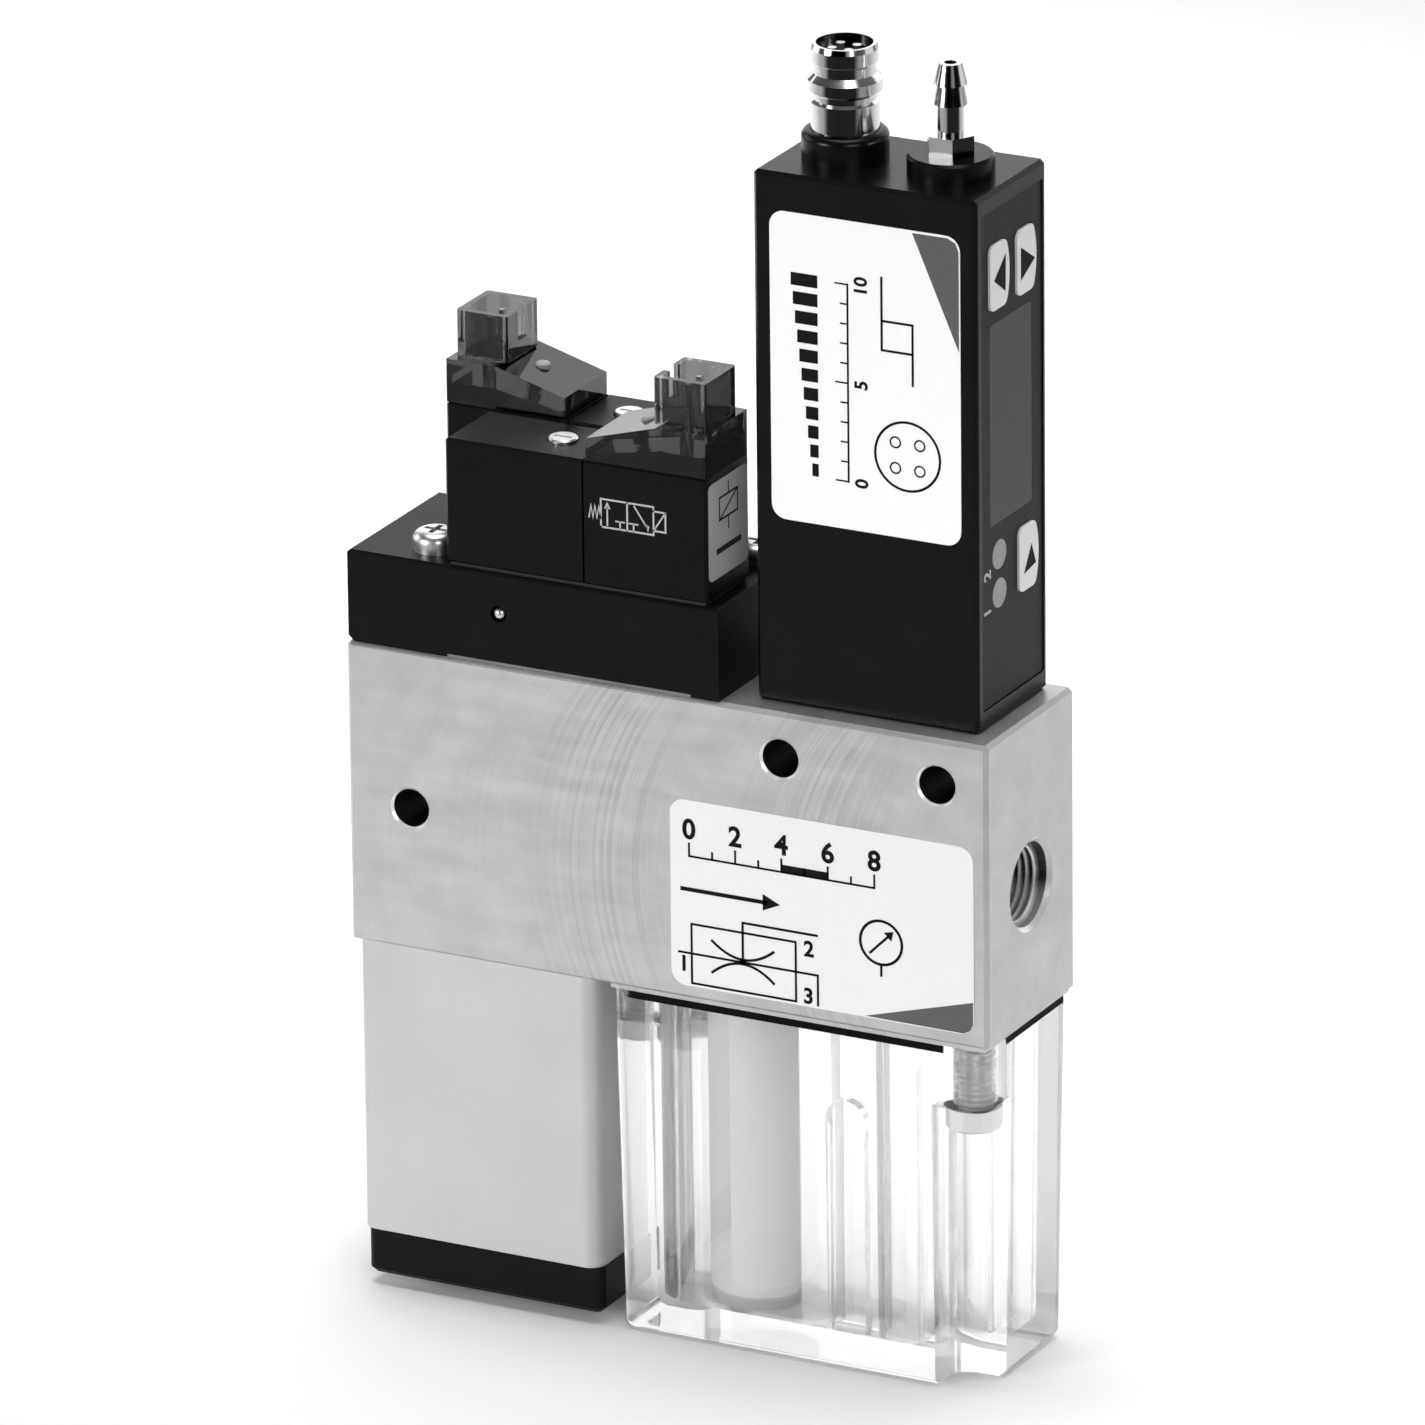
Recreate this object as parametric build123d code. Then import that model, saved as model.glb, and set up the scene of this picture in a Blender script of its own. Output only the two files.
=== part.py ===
from build123d import *
import os

# Compact vacuum ejector: an aluminium body with an ejector cartridge, two solenoid valves on a
# manifold, a vacuum switch, a silencer and a clear filter bowl.
# All sizes are millimetres. While a piece is modelled, X runs from the left end of the body, Y from
# its front face to its back face, and Z up from its underside. On export the origin moves to the
# middle of the lowest face, because the unit stands there.

# Body
BODY_L = 80.6
BODY_D = 22.0
BODY_H = 36.0
BODY_EDGE = 0.5
UNDER_EDGE = 0.35
MID_Y = BODY_D / 2
FIT = 0.05
SLACK = 0.1

# Mounting holes for M4 screws, through the body from front to back
MOUNT_R = 2.25
MOUNT_CHAMFER = 0.3
LOW_HOLE_X = 7.9
LOW_HOLE_Z = 17.0
HIGH_HOLE_IN = 25.8
HIGH_HOLE_X = BODY_L - HIGH_HOLE_IN
HIGH_HOLE_PITCH = 19.5
HIGH_HOLE_Z = 30.5

# Ports: G1/8, bored to the major diameter of the thread
PORT_R = 4.865
PORT_DEPTH = 12.0
PORT_MOUTH_R = 5.4
PILOT_R = 4.0
PILOT_DEPTH = 16.2
VACUUM_PORT_Z = 16.0
SUPPLY_PORT_Z = 26.5
SUPPLY_PORT_DEPTH = 10.0

# Filter bowl, its seat on the body, and its gasket
BOWL_L = 47.0
BOWL_END_GAP = 0.6
BOWL_X1 = BODY_L - BOWL_END_GAP
BOWL_X0 = BOWL_X1 - BOWL_L
BOWL_INSET = 0.4
SEAT_T = 0.5
BOWL_BOTTOM = -42.2
BOWL_DRAFT = 1.1
BOWL_CORNER_R = 1.5
BOWL_FOOT_R = 1.3
BOWL_WALL = 3.6
BOWL_FLOOR = 3.8
CHAMBER_R = 5.5
CHAMBER_SPLIT_IN = 20.4
CHAMBER_SPLIT_X = BOWL_X1 - CHAMBER_SPLIT_IN
CHAMBER_NECK_Y = 8.2
CHAMBER_RIGHT_X0 = BOWL_X1 - 15.4
CHAMBER_RIGHT_X1 = BOWL_X1 - 4.0
CHAMBER_RIGHT_R = 2.4
CHAMBER_SHOULDER_X = BOWL_X1 - 9.6
CHAMBER_SHOULDER_Y = 10.3
FLUTE_X = BOWL_X1 - 6.8
FLUTE_Y = 7.0
FLUTE_R = 2.6
FLUTE_REACH = 11.0
FLUTE_WALL = 1.6
FLANGE_H = 7.5
GROOVE_X = BOWL_X1 - 17.65
GROOVE_R = 2.5
GROOVE_TOP = -9.3
GROOVE_FOOT = -37.6
GASKET_T = 0.9
GASKET_X0 = BOWL_X0 + 1.0
GASKET_BORDER = 1.2
BOWL_SCREW_X = BOWL_X1 - 2.8
BOWL_SCREW_Y = 3.3
BOWL_SCREW_R = 1.95
BOWL_SCREW_GRIP = 8.5
BOWL_HEAD_R = 3.2
BOWL_HEAD_H = 2.6
BOWL_HEX_R = 1.5
BOWL_HEX_DEPTH = 1.5
SCREW_EYE_R = 3.7
FILTER_R = 5.9
FILTER_BORE_R = 3.5
FILTER_CAP_T = 1.5

# Ejector cartridge bore, drilled from the left end
BORE_R = 4.5
BORE_Z = 8.5
SUCTION_IN = 14.1
SUCTION_X = BOWL_X0 + SUCTION_IN
SUCTION_R = 2.4
BORE_END = SUCTION_X + 9.9
PLUG_R = 5.0
PLUG_L = 6.0
PLUG_SOCKET_R = 2.3
PLUG_SOCKET_DEPTH = 3.0
CARTRIDGE_R = BORE_R - SLACK
NOZZLE_X = SUCTION_X + 2.6
NOZZLE_L = 2.7
NOZZLE_NECK_L = 1.0
NOZZLE_MOUTH_R = 0.65
NOZZLE_LIP = 0.35
NOZZLE_TIP_L = 4.0
NOZZLE_TIP_R = 2.0
NOZZLE_THROAT_R = 0.5
RECEIVER_X0 = 21.5
RECEIVER_X1 = SUCTION_X - 2.6
RECEIVER_MOUTH_R = 2.4
RECEIVER_MOUTH_L = 6.0
RECEIVER_THROAT_L = 6.0
RECEIVER_THROAT_R = 1.1
RECEIVER_EXIT_R = 2.3
RING_R = 0.5
RING_GROOVE_W = 1.3
RING_FROM_END = 3.0
NOZZLE_RING = 1.35
RING_SLACK = 0.01
EXHAUST_X = 14.0
EXHAUST_W = 7.0
EXHAUST_L = 12.0

# Passages inside the body
FEED_Y = 9.0
FEED_R = 1.2
FEED_LEVEL = 22.0
FEED_DROP_X = BORE_END - 2.0
BLOW_Y = 16.9
BLOW_R = 1.0
SUPPLY_RISE_X = 8.0
SUPPLY_RISE_R = 1.5
BOWL_DROP_X = (CHAMBER_RIGHT_X0 + CHAMBER_SHOULDER_X) / 2
BOWL_DROP_R = 2.9
SENSE_X = BODY_L - 10.6
SENSE_R = 1.1

# Vacuum switch, its place along the body
SWITCH_END_GAP = 2.5
SWITCH_L = 27.5
SWITCH_X1 = BODY_L - SWITCH_END_GAP
SWITCH_X0 = SWITCH_X1 - SWITCH_L

# Valve manifold, from the left end to the switch
MANI_X0 = 0.3
MANI_GAP = 3.4
MANI_X1 = SWITCH_X0 - MANI_GAP
FEED_X = MANI_X1 - 3.2
BLOW_X = MANI_X1 - 8.6
MANI_INSET = 0.15
MANI_H = 10.9
MANI_EDGE = 0.3
MANI_FOOT_CHAMFER = 0.7
MANI_SEAL_X0 = 12.8
MANI_SEAL_X1 = MANI_X1 - 3.5
MANI_SEAL_T = 0.35
MANI_TOP = BODY_H + MANI_H
GALLERY_X = 19.5
GALLERY_Z = BODY_H + 6.1
GALLERY_R = 1.0
BALL_R = 0.75
MANI_SCREW_X = 9.2
MANI_SCREW_Y = 4.8
MANI_SCREW_R = 1.2
MANI_SCREW_GRIP = 5.5
PAN_HEAD_R = 2.65
PAN_HEAD_H = 2.3
CROSS_W = 0.65
CROSS_L = 2.8
CROSS_DEPTH = 1.1

# Solenoid valves: the front one has its plug to the right, the rear one is turned half round
VALVE_X0 = 12.9
VALVE_END_GAP = 1.4
VALVE_W = 10.4
VALVE_GAP = 0.6
VALVE_H = 15.1
VALVE_SEAL_T = 0.4
VALVE_EDGE = 0.3
VALVE_X1 = MANI_X1 - VALVE_END_GAP
VALVE_PAIR_X = (MANI_SCREW_X + MANI_X1 - MANI_GAP) / 2
VALVE_Y0 = MID_Y - VALVE_GAP / 2 - VALVE_W
VALVE_Y1 = VALVE_Y0 + VALVE_W
VALVE_MID_Y = VALVE_Y0 + VALVE_W / 2
VALVE_TOP = MANI_TOP + VALVE_H
JOINT_LINE = 0.25
CAP_L = 15.0
CAP_FLAT_L = 6.1
CAP_H = 5.1
CAP_TIP_H = 2.6
CAP_INSET = 0.1
JOINT_LINE_X = VALVE_X1 - CAP_L - 0.6
CAP_WALL = 0.7
CORE_H = 2.2
CORE_TIP_H = 0.7
CORE_ROOT = 1.0
SHROUD_L = 6.5
SHROUD_W = 7.6
SHROUD_H = 5.5
SHROUD_WALL = 0.8
SHROUD_END_GAP = 0.6
SHROUD_KEY_W = 2.4
SHROUD_KEY_H = 3.6
PIN_PITCH = 2.5
PIN_T = 0.6
PIN_TOP_GAP = 1.0
LAMP_R = 0.9
LAMP_X = VALVE_X1 - 9.7
LAMP_RISE = 0.45
LAMP_EDGE = 0.3
OVERRIDE_X = VALVE_X1 - CAP_L - 5.6
OVERRIDE_R = 1.7
OVERRIDE_PROUD = 0.4
OVERRIDE_TRAVEL = 0.8
OVERRIDE_L = 1.8
OVERRIDE_EDGE = 0.15
OVERRIDE_SLOT = (2.2, 0.4, 0.3)

# Vacuum switch, its own sizes
SWITCH_Y0 = 2.95
SWITCH_Y1 = 20.35
SWITCH_H = 62.2
SWITCH_EDGE = 0.45
SWITCH_TOP = BODY_H + SWITCH_H
SWITCH_WALL = 2.0
PANEL_Y0 = 4.2
PANEL_Y1 = 19.5
PANEL_LOW = 2.3
PANEL_HIGH = 2.1
PANEL_R = 0.5
PANEL_SINK = 0.15
PANEL_T = 1.0
LEDGE = 0.8
BOARD_GAP = 0.75
BOARD_T = 1.0
WINDOW_Y0 = 6.4
WINDOW_Y1 = 16.9
WINDOW_Z0 = BODY_H + 23.2
WINDOW_H = 23.6
WINDOW_T = 0.8
KEY_W = 4.0
KEY_BULGE = 0.8
KEY_H = 7.6
KEY_CORNER = 1.0
KEY_PROUD = 0.25
KEY_FLANGE = 0.35
KEY_FLANGE_T = 0.3
KEY_TOP_Z = SWITCH_TOP - 13.8
KEY_STEP_DOWN = 0.2
KEY_LOW_Z = BODY_H + 13.4
KEY_PLACES = {
    "key_up": (6.2, KEY_TOP_Z),
    "key_down": (12.9, KEY_TOP_Z - KEY_STEP_DOWN),
    "key_mode": (13.2, KEY_LOW_Z),
}
LED_R = 1.7
LED_Y = 8.7
LED_LOW_Z = BODY_H + 15.0
LED_PITCH = 4.55
SENSOR_R = 3.4
SENSOR_H = 5.0
SEAL_POCKET_R = 2.7
SEAL_POCKET_DEPTH = 0.9

# Round connector on the switch
PLUG_X = SWITCH_X0 + 7.4
CONNECTOR_Y = 11.1
COLLAR_R = 4.9
COLLAR_EDGE = 0.9
COLLAR_H = 3.5
SHELL_FOOT_R = 3.85
SHELL_FOOT_H = 6.7
SHELL_WAIST_R = 3.5
SHELL_BEAD_R = 4.2
SHELL_BEAD_Z = 7.6
SHELL_BEAD_H = 2.4
SHELL_RIM_R = 3.75
SHELL_TOP_R = 3.55
SHELL_H = 13.4
SHELL_RIM_H = 2.3
SHELL_RIM_EDGE = 0.6
SHELL_BORE_R = 3.2
SHELL_SINK = 1.4
INSERT_TOP_GAP = 1.7
CONTACT_R = 0.5
CONTACT_RING_R = 1.45
CONTACT_TOP_GAP = 0.5
CONTACT_SINK = 3.0

# Hose nipple on the switch
NIPPLE_X = SWITCH_X0 + 20.4
BOSS_R = 4.9
BOSS_H = 2.4
NIPPLE_HEX_R = 2.5
NIPPLE_HEX_H = 2.3
NIPPLE_NECK_R = 1.5
NIPPLE_BARB_R = 1.88
NIPPLE_BARB_H = 2.3
NIPPLE_BARB_Z = 8.0
NIPPLE_TIP_R = 1.3
NIPPLE_H = 12.8
NIPPLE_BORE_R = 0.7
NIPPLE_SPIGOT_L = 3.0

# Silencer, from the left end to the bowl
SILENCER_X0 = 0.4
SILENCER_GAP = 2.0
SILENCER_X1 = BOWL_X0 - SILENCER_GAP
SILENCER_INSET = 0.4
SILENCER_H = 35.3
SILENCER_R = 1.9
SILENCER_WALL = 2.0
SILENCER_CAP_X0 = SILENCER_X0 + 0.5
SILENCER_CAP_X1 = SILENCER_X1 + 0.2
SILENCER_CAP_INSET = 0.7
SILENCER_CAP_H = 5.6
SILENCER_CAP_R = 1.2
CAP_LIP_H = 2.0
CAP_LIP_T = 1.2
SLOT_COUNT = 5
SLOT_PITCH = 3.4
SLOT_W = 1.5
SLOT_L = 12.0
SILENCER_SCREW_IN = 4.2
SILENCER_SCREW_R = 1.45
SILENCER_SCREW_GRIP = 6.0
SILENCER_HEAD_R = 2.7
SILENCER_HEAD_H = 2.0

# Labels
LABEL_T = 0.1
BODY_LABEL_L = 37.9
BODY_LABEL_IN = 1.7
BODY_LABEL_X = (BODY_L - BODY_LABEL_IN - BODY_LABEL_L, BODY_L - BODY_LABEL_IN)
BODY_LABEL_Z = (1.55, 23.8)
SWITCH_LABEL_X = (SWITCH_X0 + 2.1, SWITCH_X1 - 1.95)
SWITCH_LABEL_H = 36.0
SWITCH_LABEL_DROP = 4.3
SWITCH_LABEL_Z = (SWITCH_TOP - SWITCH_LABEL_DROP - SWITCH_LABEL_H, SWITCH_TOP - SWITCH_LABEL_DROP)
VALVE_LABEL_MARGIN = 0.5
VALVE_LABEL_H = 11.4
LABEL_R = 1.8
SMALL_LABEL_R = 0.8


def box_between(x, y, z):
    """A box given by a low and a high value on each axis."""
    centre = Pos((x[0] + x[1]) / 2, (y[0] + y[1]) / 2, (z[0] + z[1]) / 2)
    return centre * Box(x[1] - x[0], y[1] - y[0], z[1] - z[0])


def joined(pieces):
    """Several loose solids as one piece, such as the screws of a set."""
    whole = pieces[0]
    for piece in pieces[1:]:
        whole = whole + piece
    return whole


def rounded(width, height, radius):
    """A rectangle in a sketch, with round corners."""
    return RectangleRounded(width, height, radius)


def upright(x, y, z, radius):
    """A block with round vertical edges."""
    outline = Pos((x[0] + x[1]) / 2, (y[0] + y[1]) / 2, z[0]) * rounded(x[1] - x[0], y[1] - y[0], radius)
    return extrude(outline, amount=z[1] - z[0])


def facing_front(x, z, y, radius):
    """A plate with round corners, seen from the front."""
    place = Plane.XZ.offset(-y[1]) * Pos((x[0] + x[1]) / 2, (z[0] + z[1]) / 2)
    return extrude(place * rounded(x[1] - x[0], z[1] - z[0], radius), amount=y[1] - y[0])


def facing_right(y, z, x, radius):
    """A plate with round corners, seen from the right."""
    place = Plane.YZ.offset(x[0]) * Pos((y[0] + y[1]) / 2, (z[0] + z[1]) / 2)
    return extrude(place * rounded(y[1] - y[0], z[1] - z[0], radius), amount=x[1] - x[0])


def rod_x(x, y, z, radius):
    return Pos((x[0] + x[1]) / 2, y, z) * Rot(0, 90, 0) * Cylinder(radius, x[1] - x[0])


def rod_y(x, y, z, radius):
    return Pos(x, (y[0] + y[1]) / 2, z) * Rot(90, 0, 0) * Cylinder(radius, y[1] - y[0])


def rod_z(x, y, z, radius):
    return Pos(x, y, (z[0] + z[1]) / 2) * Cylinder(radius, z[1] - z[0])


def turned_z(x, y, z, outline):
    """A piece turned about an upright axis, from points of radius and height."""
    face = Plane.XZ * make_face(Polyline(*outline, close=True))
    return Pos(x, y, z) * revolve(face, Axis.Z)


def turned_x(y, z, outline):
    """A piece turned about the length of the body, from points of X and radius."""
    face = Plane.XY * make_face(Polyline(*outline, close=True))
    return Pos(0, y, z) * revolve(face, Axis.X)


def mouth_x(x, y, z, inner, outer, towards):
    """The cone cut at the mouth of a bore along X."""
    depth = outer - inner
    base = x - towards * depth
    return Pos((x + base) / 2, y, z) * Rot(0, 90 * towards, 0) * Cone(inner, outer, depth)


def ring_x(x, y, z, middle, radius):
    """A rubber ring round the length axis."""
    return Pos(x, y, z) * Rot(0, 90, 0) * Torus(middle, radius)


def half_turned(piece):
    """The same piece turned half round in plan, as the rear valve is."""
    return Pos(VALVE_PAIR_X, MID_Y) * Rot(0, 0, 180) * Pos(-VALVE_PAIR_X, -MID_Y) * piece


def across_the_bowl(piece):
    """The same piece turned half round in plan about the middle of the bowl."""
    middle = (BOWL_X0 + BOWL_X1) / 2
    return Pos(middle, MID_Y) * Rot(0, 0, 180) * Pos(-middle, -MID_Y) * piece


def screw_corners():
    """The two bowl screws: at the front right, and across from it at the back left."""
    from_right = BOWL_X1 - BOWL_SCREW_X
    return [(BOWL_SCREW_X, BOWL_SCREW_Y), (BOWL_X0 + from_right, BODY_D - BOWL_SCREW_Y)]


def silencer_screw_places():
    near = (SILENCER_X0 + SILENCER_SCREW_IN, SILENCER_SCREW_IN)
    far = (SILENCER_X1 - SILENCER_SCREW_IN, BODY_D - SILENCER_SCREW_IN)
    return [near, far]


def manifold_screw_places():
    return [(MANI_SCREW_X, MANI_SCREW_Y), (2 * VALVE_PAIR_X - MANI_SCREW_X, BODY_D - MANI_SCREW_Y)]


def mounting_holes():
    """The three clearance holes, each with a small chamfer at both faces."""
    places = [
        (LOW_HOLE_X, LOW_HOLE_Z),
        (HIGH_HOLE_X, HIGH_HOLE_Z),
        (HIGH_HOLE_X + HIGH_HOLE_PITCH, HIGH_HOLE_Z),
    ]
    wide = MOUNT_R + MOUNT_CHAMFER
    holes = []
    for x, z in places:
        holes.append(rod_y(x, (0, BODY_D), z, MOUNT_R))
        front = Pos(x, MOUNT_CHAMFER / 2, z) * Rot(90, 0, 0) * Cone(MOUNT_R, wide, MOUNT_CHAMFER)
        back = Pos(x, BODY_D - MOUNT_CHAMFER / 2, z) * Rot(-90, 0, 0) * Cone(MOUNT_R, wide, MOUNT_CHAMFER)
        holes += [front, back]
    return holes


def exhaust_slot(z):
    """The long hole between the cartridge bore and the silencer."""
    x = (EXHAUST_X - EXHAUST_L / 2, EXHAUST_X + EXHAUST_L / 2)
    return upright(x, (MID_Y - EXHAUST_W / 2, MID_Y + EXHAUST_W / 2), z, EXHAUST_W / 2 - FIT)


def body_passages():
    """The bores that carry air, from the supply port to the bowl and the switch."""
    below = -SEAT_T
    return [
        rod_x((BODY_L - PORT_DEPTH, BODY_L), MID_Y, VACUUM_PORT_Z, PORT_R),
        rod_x((BODY_L - PILOT_DEPTH, BODY_L), MID_Y, VACUUM_PORT_Z, PILOT_R),
        mouth_x(BODY_L, MID_Y, VACUUM_PORT_Z, PORT_R, PORT_MOUTH_R, 1),
        rod_x((0, SUPPLY_PORT_DEPTH), MID_Y, SUPPLY_PORT_Z, PORT_R),
        mouth_x(0, MID_Y, SUPPLY_PORT_Z, PORT_R, PORT_MOUTH_R, -1),
        rod_x((0, BORE_END), MID_Y, BORE_Z, BORE_R),
        rod_x((0, PLUG_L), MID_Y, BORE_Z, PLUG_R),
        exhaust_slot((0, BORE_Z)),
        rod_z(SUCTION_X, MID_Y, (below, BORE_Z), SUCTION_R),
        rod_z(SUPPLY_RISE_X, MID_Y, (SUPPLY_PORT_Z, BODY_H), SUPPLY_RISE_R),
        rod_z(FEED_X, FEED_Y, (FEED_LEVEL - FEED_R, BODY_H), FEED_R),
        rod_x((FEED_X, FEED_DROP_X + FEED_R), FEED_Y, FEED_LEVEL, FEED_R),
        rod_z(FEED_DROP_X, FEED_Y, (BORE_Z, FEED_LEVEL), FEED_R),
        rod_z(BLOW_X, BLOW_Y, (below, BODY_H), BLOW_R),
        rod_z(BOWL_DROP_X, MID_Y, (below, VACUUM_PORT_Z), BOWL_DROP_R),
        rod_z(SENSE_X, MID_Y, (VACUUM_PORT_Z, BODY_H), SENSE_R),
        rod_z(SENSE_X, MID_Y, (BODY_H - SEAL_POCKET_DEPTH, BODY_H), SEAL_POCKET_R),
    ]


def tapped_holes():
    """The holes that take the screws of the bowl, the silencer and the manifold."""
    holes = []
    for x, y in screw_corners():
        holes.append(rod_z(x, y, (-SEAT_T, BOWL_SCREW_GRIP), BOWL_SCREW_R + FIT))
    for x, y in silencer_screw_places():
        holes.append(rod_z(x, y, (0, SILENCER_SCREW_GRIP), SILENCER_SCREW_R + FIT))
    for x, y in manifold_screw_places():
        holes.append(rod_z(x, y, (BODY_H - MANI_SCREW_GRIP - 0.5, BODY_H), MANI_SCREW_R + FIT))
    return holes


def body_block():
    block = box_between((0, BODY_L), (0, BODY_D), (0, BODY_H))
    under = block.edges().group_by(Axis.Z)[0]
    block = chamfer(under, UNDER_EDGE)
    others = block.edges().filter_by(lambda edge: edge.bounding_box().max.Z > BODY_H - FIT)
    block = chamfer(others, BODY_EDGE)
    seat = box_between((BOWL_X0, BOWL_X1), (BOWL_INSET, BODY_D - BOWL_INSET), (-SEAT_T, 0))
    block = block + seat
    for cut in mounting_holes() + body_passages() + tapped_holes():
        block = block - cut
    return block


def bore_plug():
    """Closes the left end of the cartridge bore. It has a hexagon socket."""
    plug = rod_x((BODY_EDGE, PLUG_L - FIT), MID_Y, BORE_Z, PLUG_R - FIT)
    socket = Plane.YZ.offset(BODY_EDGE) * Pos(MID_Y, BORE_Z) * RegularPolygon(PLUG_SOCKET_R, 6)
    return plug - extrude(socket, amount=PLUG_SOCKET_DEPTH)


def ring_grooves(places):
    """The grooves of a cartridge piece, as rings to cut away."""
    floor = BORE_R - 2 * RING_R
    cuts = []
    for x in places:
        span = (x - RING_GROOVE_W / 2, x + RING_GROOVE_W / 2)
        cuts.append(rod_x(span, MID_Y, BORE_Z, BORE_R) - rod_x(span, MID_Y, BORE_Z, floor))
    return cuts


def nozzle_ring_places():
    return [NOZZLE_X + NOZZLE_RING]


def receiver_ring_places():
    return [RECEIVER_X0 + RING_FROM_END, RECEIVER_X1 - RING_FROM_END]


def motive_nozzle():
    """The jet that the supply air leaves through. It points to the left."""
    end = NOZZLE_X + NOZZLE_L
    tip = NOZZLE_X - NOZZLE_TIP_L
    outline = [
        (tip, NOZZLE_MOUTH_R),
        (tip, NOZZLE_MOUTH_R + NOZZLE_LIP),
        (NOZZLE_X, NOZZLE_TIP_R),
        (NOZZLE_X, CARTRIDGE_R),
        (end, CARTRIDGE_R),
        (end, NOZZLE_TIP_R),
        (NOZZLE_X - NOZZLE_NECK_L, NOZZLE_THROAT_R),
    ]
    nozzle = turned_x(MID_Y, BORE_Z, outline)
    for cut in ring_grooves(nozzle_ring_places()):
        nozzle = nozzle - cut
    return nozzle


def receiver_tube():
    """The tube that the jet mixes in. It widens towards the exhaust."""
    throat_x = RECEIVER_X1 - RECEIVER_MOUTH_L
    outline = [
        (RECEIVER_X0, RECEIVER_EXIT_R),
        (RECEIVER_X0, CARTRIDGE_R),
        (RECEIVER_X1, CARTRIDGE_R),
        (RECEIVER_X1, RECEIVER_MOUTH_R),
        (throat_x, RECEIVER_THROAT_R),
        (throat_x - RECEIVER_THROAT_L, RECEIVER_THROAT_R),
    ]
    tube = turned_x(MID_Y, BORE_Z, outline)
    for cut in ring_grooves(receiver_ring_places()):
        tube = tube - cut
    return tube


def cartridge_seals():
    rings = []
    for x in nozzle_ring_places() + receiver_ring_places():
        rings.append(ring_x(x, MID_Y, BORE_Z, BORE_R - RING_R, RING_R - RING_SLACK))
    return joined(rings)


def silencer_housing():
    """The open box below the left end, with round corners."""
    y = (SILENCER_INSET, BODY_D - SILENCER_INSET)
    outer = upright((SILENCER_X0, SILENCER_X1), y, (-SILENCER_H, 0), SILENCER_R)
    inner = upright(
        (SILENCER_X0 + SILENCER_WALL, SILENCER_X1 - SILENCER_WALL),
        (y[0] + SILENCER_WALL, y[1] - SILENCER_WALL),
        (-SILENCER_H, -SILENCER_WALL),
        SILENCER_R / 2,
    )
    housing = outer - inner
    housing = housing - exhaust_slot((-SILENCER_WALL, 0))
    for x, y_screw in silencer_screw_places():
        housing = housing - rod_z(x, y_screw, (-SILENCER_WALL, 0), SILENCER_SCREW_R + SLACK)
    return housing


def silencer_insert():
    """The porous block that quiets the exhaust air."""
    wall = SILENCER_WALL + SLACK
    insert = upright(
        (SILENCER_X0 + wall, SILENCER_X1 - wall),
        (SILENCER_INSET + wall, BODY_D - SILENCER_INSET - wall),
        (-SILENCER_H + CAP_LIP_H + SLACK, -SILENCER_WALL - SLACK),
        SILENCER_R / 2,
    )
    for x, y in silencer_screw_places():
        insert = insert - rod_z(x, y, (-SILENCER_H, 0), SILENCER_SCREW_R + SLACK)
    return insert


def silencer_cap():
    """The black cap under the silencer, with a lip inside the box and slots for the air."""
    low = -SILENCER_H - SILENCER_CAP_H
    y = (SILENCER_CAP_INSET, BODY_D - SILENCER_CAP_INSET)
    cap = upright((SILENCER_CAP_X0, SILENCER_CAP_X1), y, (low, -SILENCER_H), SILENCER_CAP_R)
    cap = chamfer(cap.edges().group_by(Axis.Z)[0], SILENCER_CAP_R / 2)
    wall = SILENCER_WALL + SLACK
    x_in = (SILENCER_X0 + wall, SILENCER_X1 - wall)
    y_in = (SILENCER_INSET + wall, BODY_D - SILENCER_INSET - wall)
    lip = upright(x_in, y_in, (-SILENCER_H, -SILENCER_H + CAP_LIP_H), SILENCER_R / 2)
    x_core = (x_in[0] + CAP_LIP_T, x_in[1] - CAP_LIP_T)
    y_core = (y_in[0] + CAP_LIP_T, y_in[1] - CAP_LIP_T)
    floor = low + SILENCER_HEAD_H + 0.8
    cap = cap + lip - box_between(x_core, y_core, (floor, -SILENCER_H + CAP_LIP_H))
    for x, y_screw in silencer_screw_places():
        post = rod_z(x, y_screw, (floor, -SILENCER_H + CAP_LIP_H), SILENCER_HEAD_R)
        cap = cap + (post & upright(x_in, y_in, (low, 0), SILENCER_R / 2))
    middle = (SILENCER_CAP_X0 + SILENCER_CAP_X1) / 2
    for index in range(SLOT_COUNT):
        x = middle + (index - (SLOT_COUNT - 1) / 2) * SLOT_PITCH
        across = (MID_Y - SLOT_L / 2, MID_Y + SLOT_L / 2)
        cap = cap - upright((x - SLOT_W / 2, x + SLOT_W / 2), across, (low, floor), SLOT_W / 2 - FIT)
    for x, y_screw in silencer_screw_places():
        cap = cap - rod_z(x, y_screw, (low, low + SILENCER_HEAD_H), SILENCER_HEAD_R + SLACK)
        cap = cap - rod_z(x, y_screw, (low, 0), SILENCER_SCREW_R + SLACK)
    return cap


def silencer_screws():
    """Two long screws that hold cap and housing to the body."""
    low = -SILENCER_H - SILENCER_CAP_H
    screws = []
    for x, y in silencer_screw_places():
        head = rod_z(x, y, (low + 0.3, low + SILENCER_HEAD_H), SILENCER_HEAD_R)
        shank = rod_z(x, y, (low + SILENCER_HEAD_H, SILENCER_SCREW_GRIP - FIT), SILENCER_SCREW_R)
        socket = extrude(Pos(x, y, low) * RegularPolygon(1.3, 6), amount=1.5)
        screws.append(head + shank - socket)
    return joined(screws)


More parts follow.
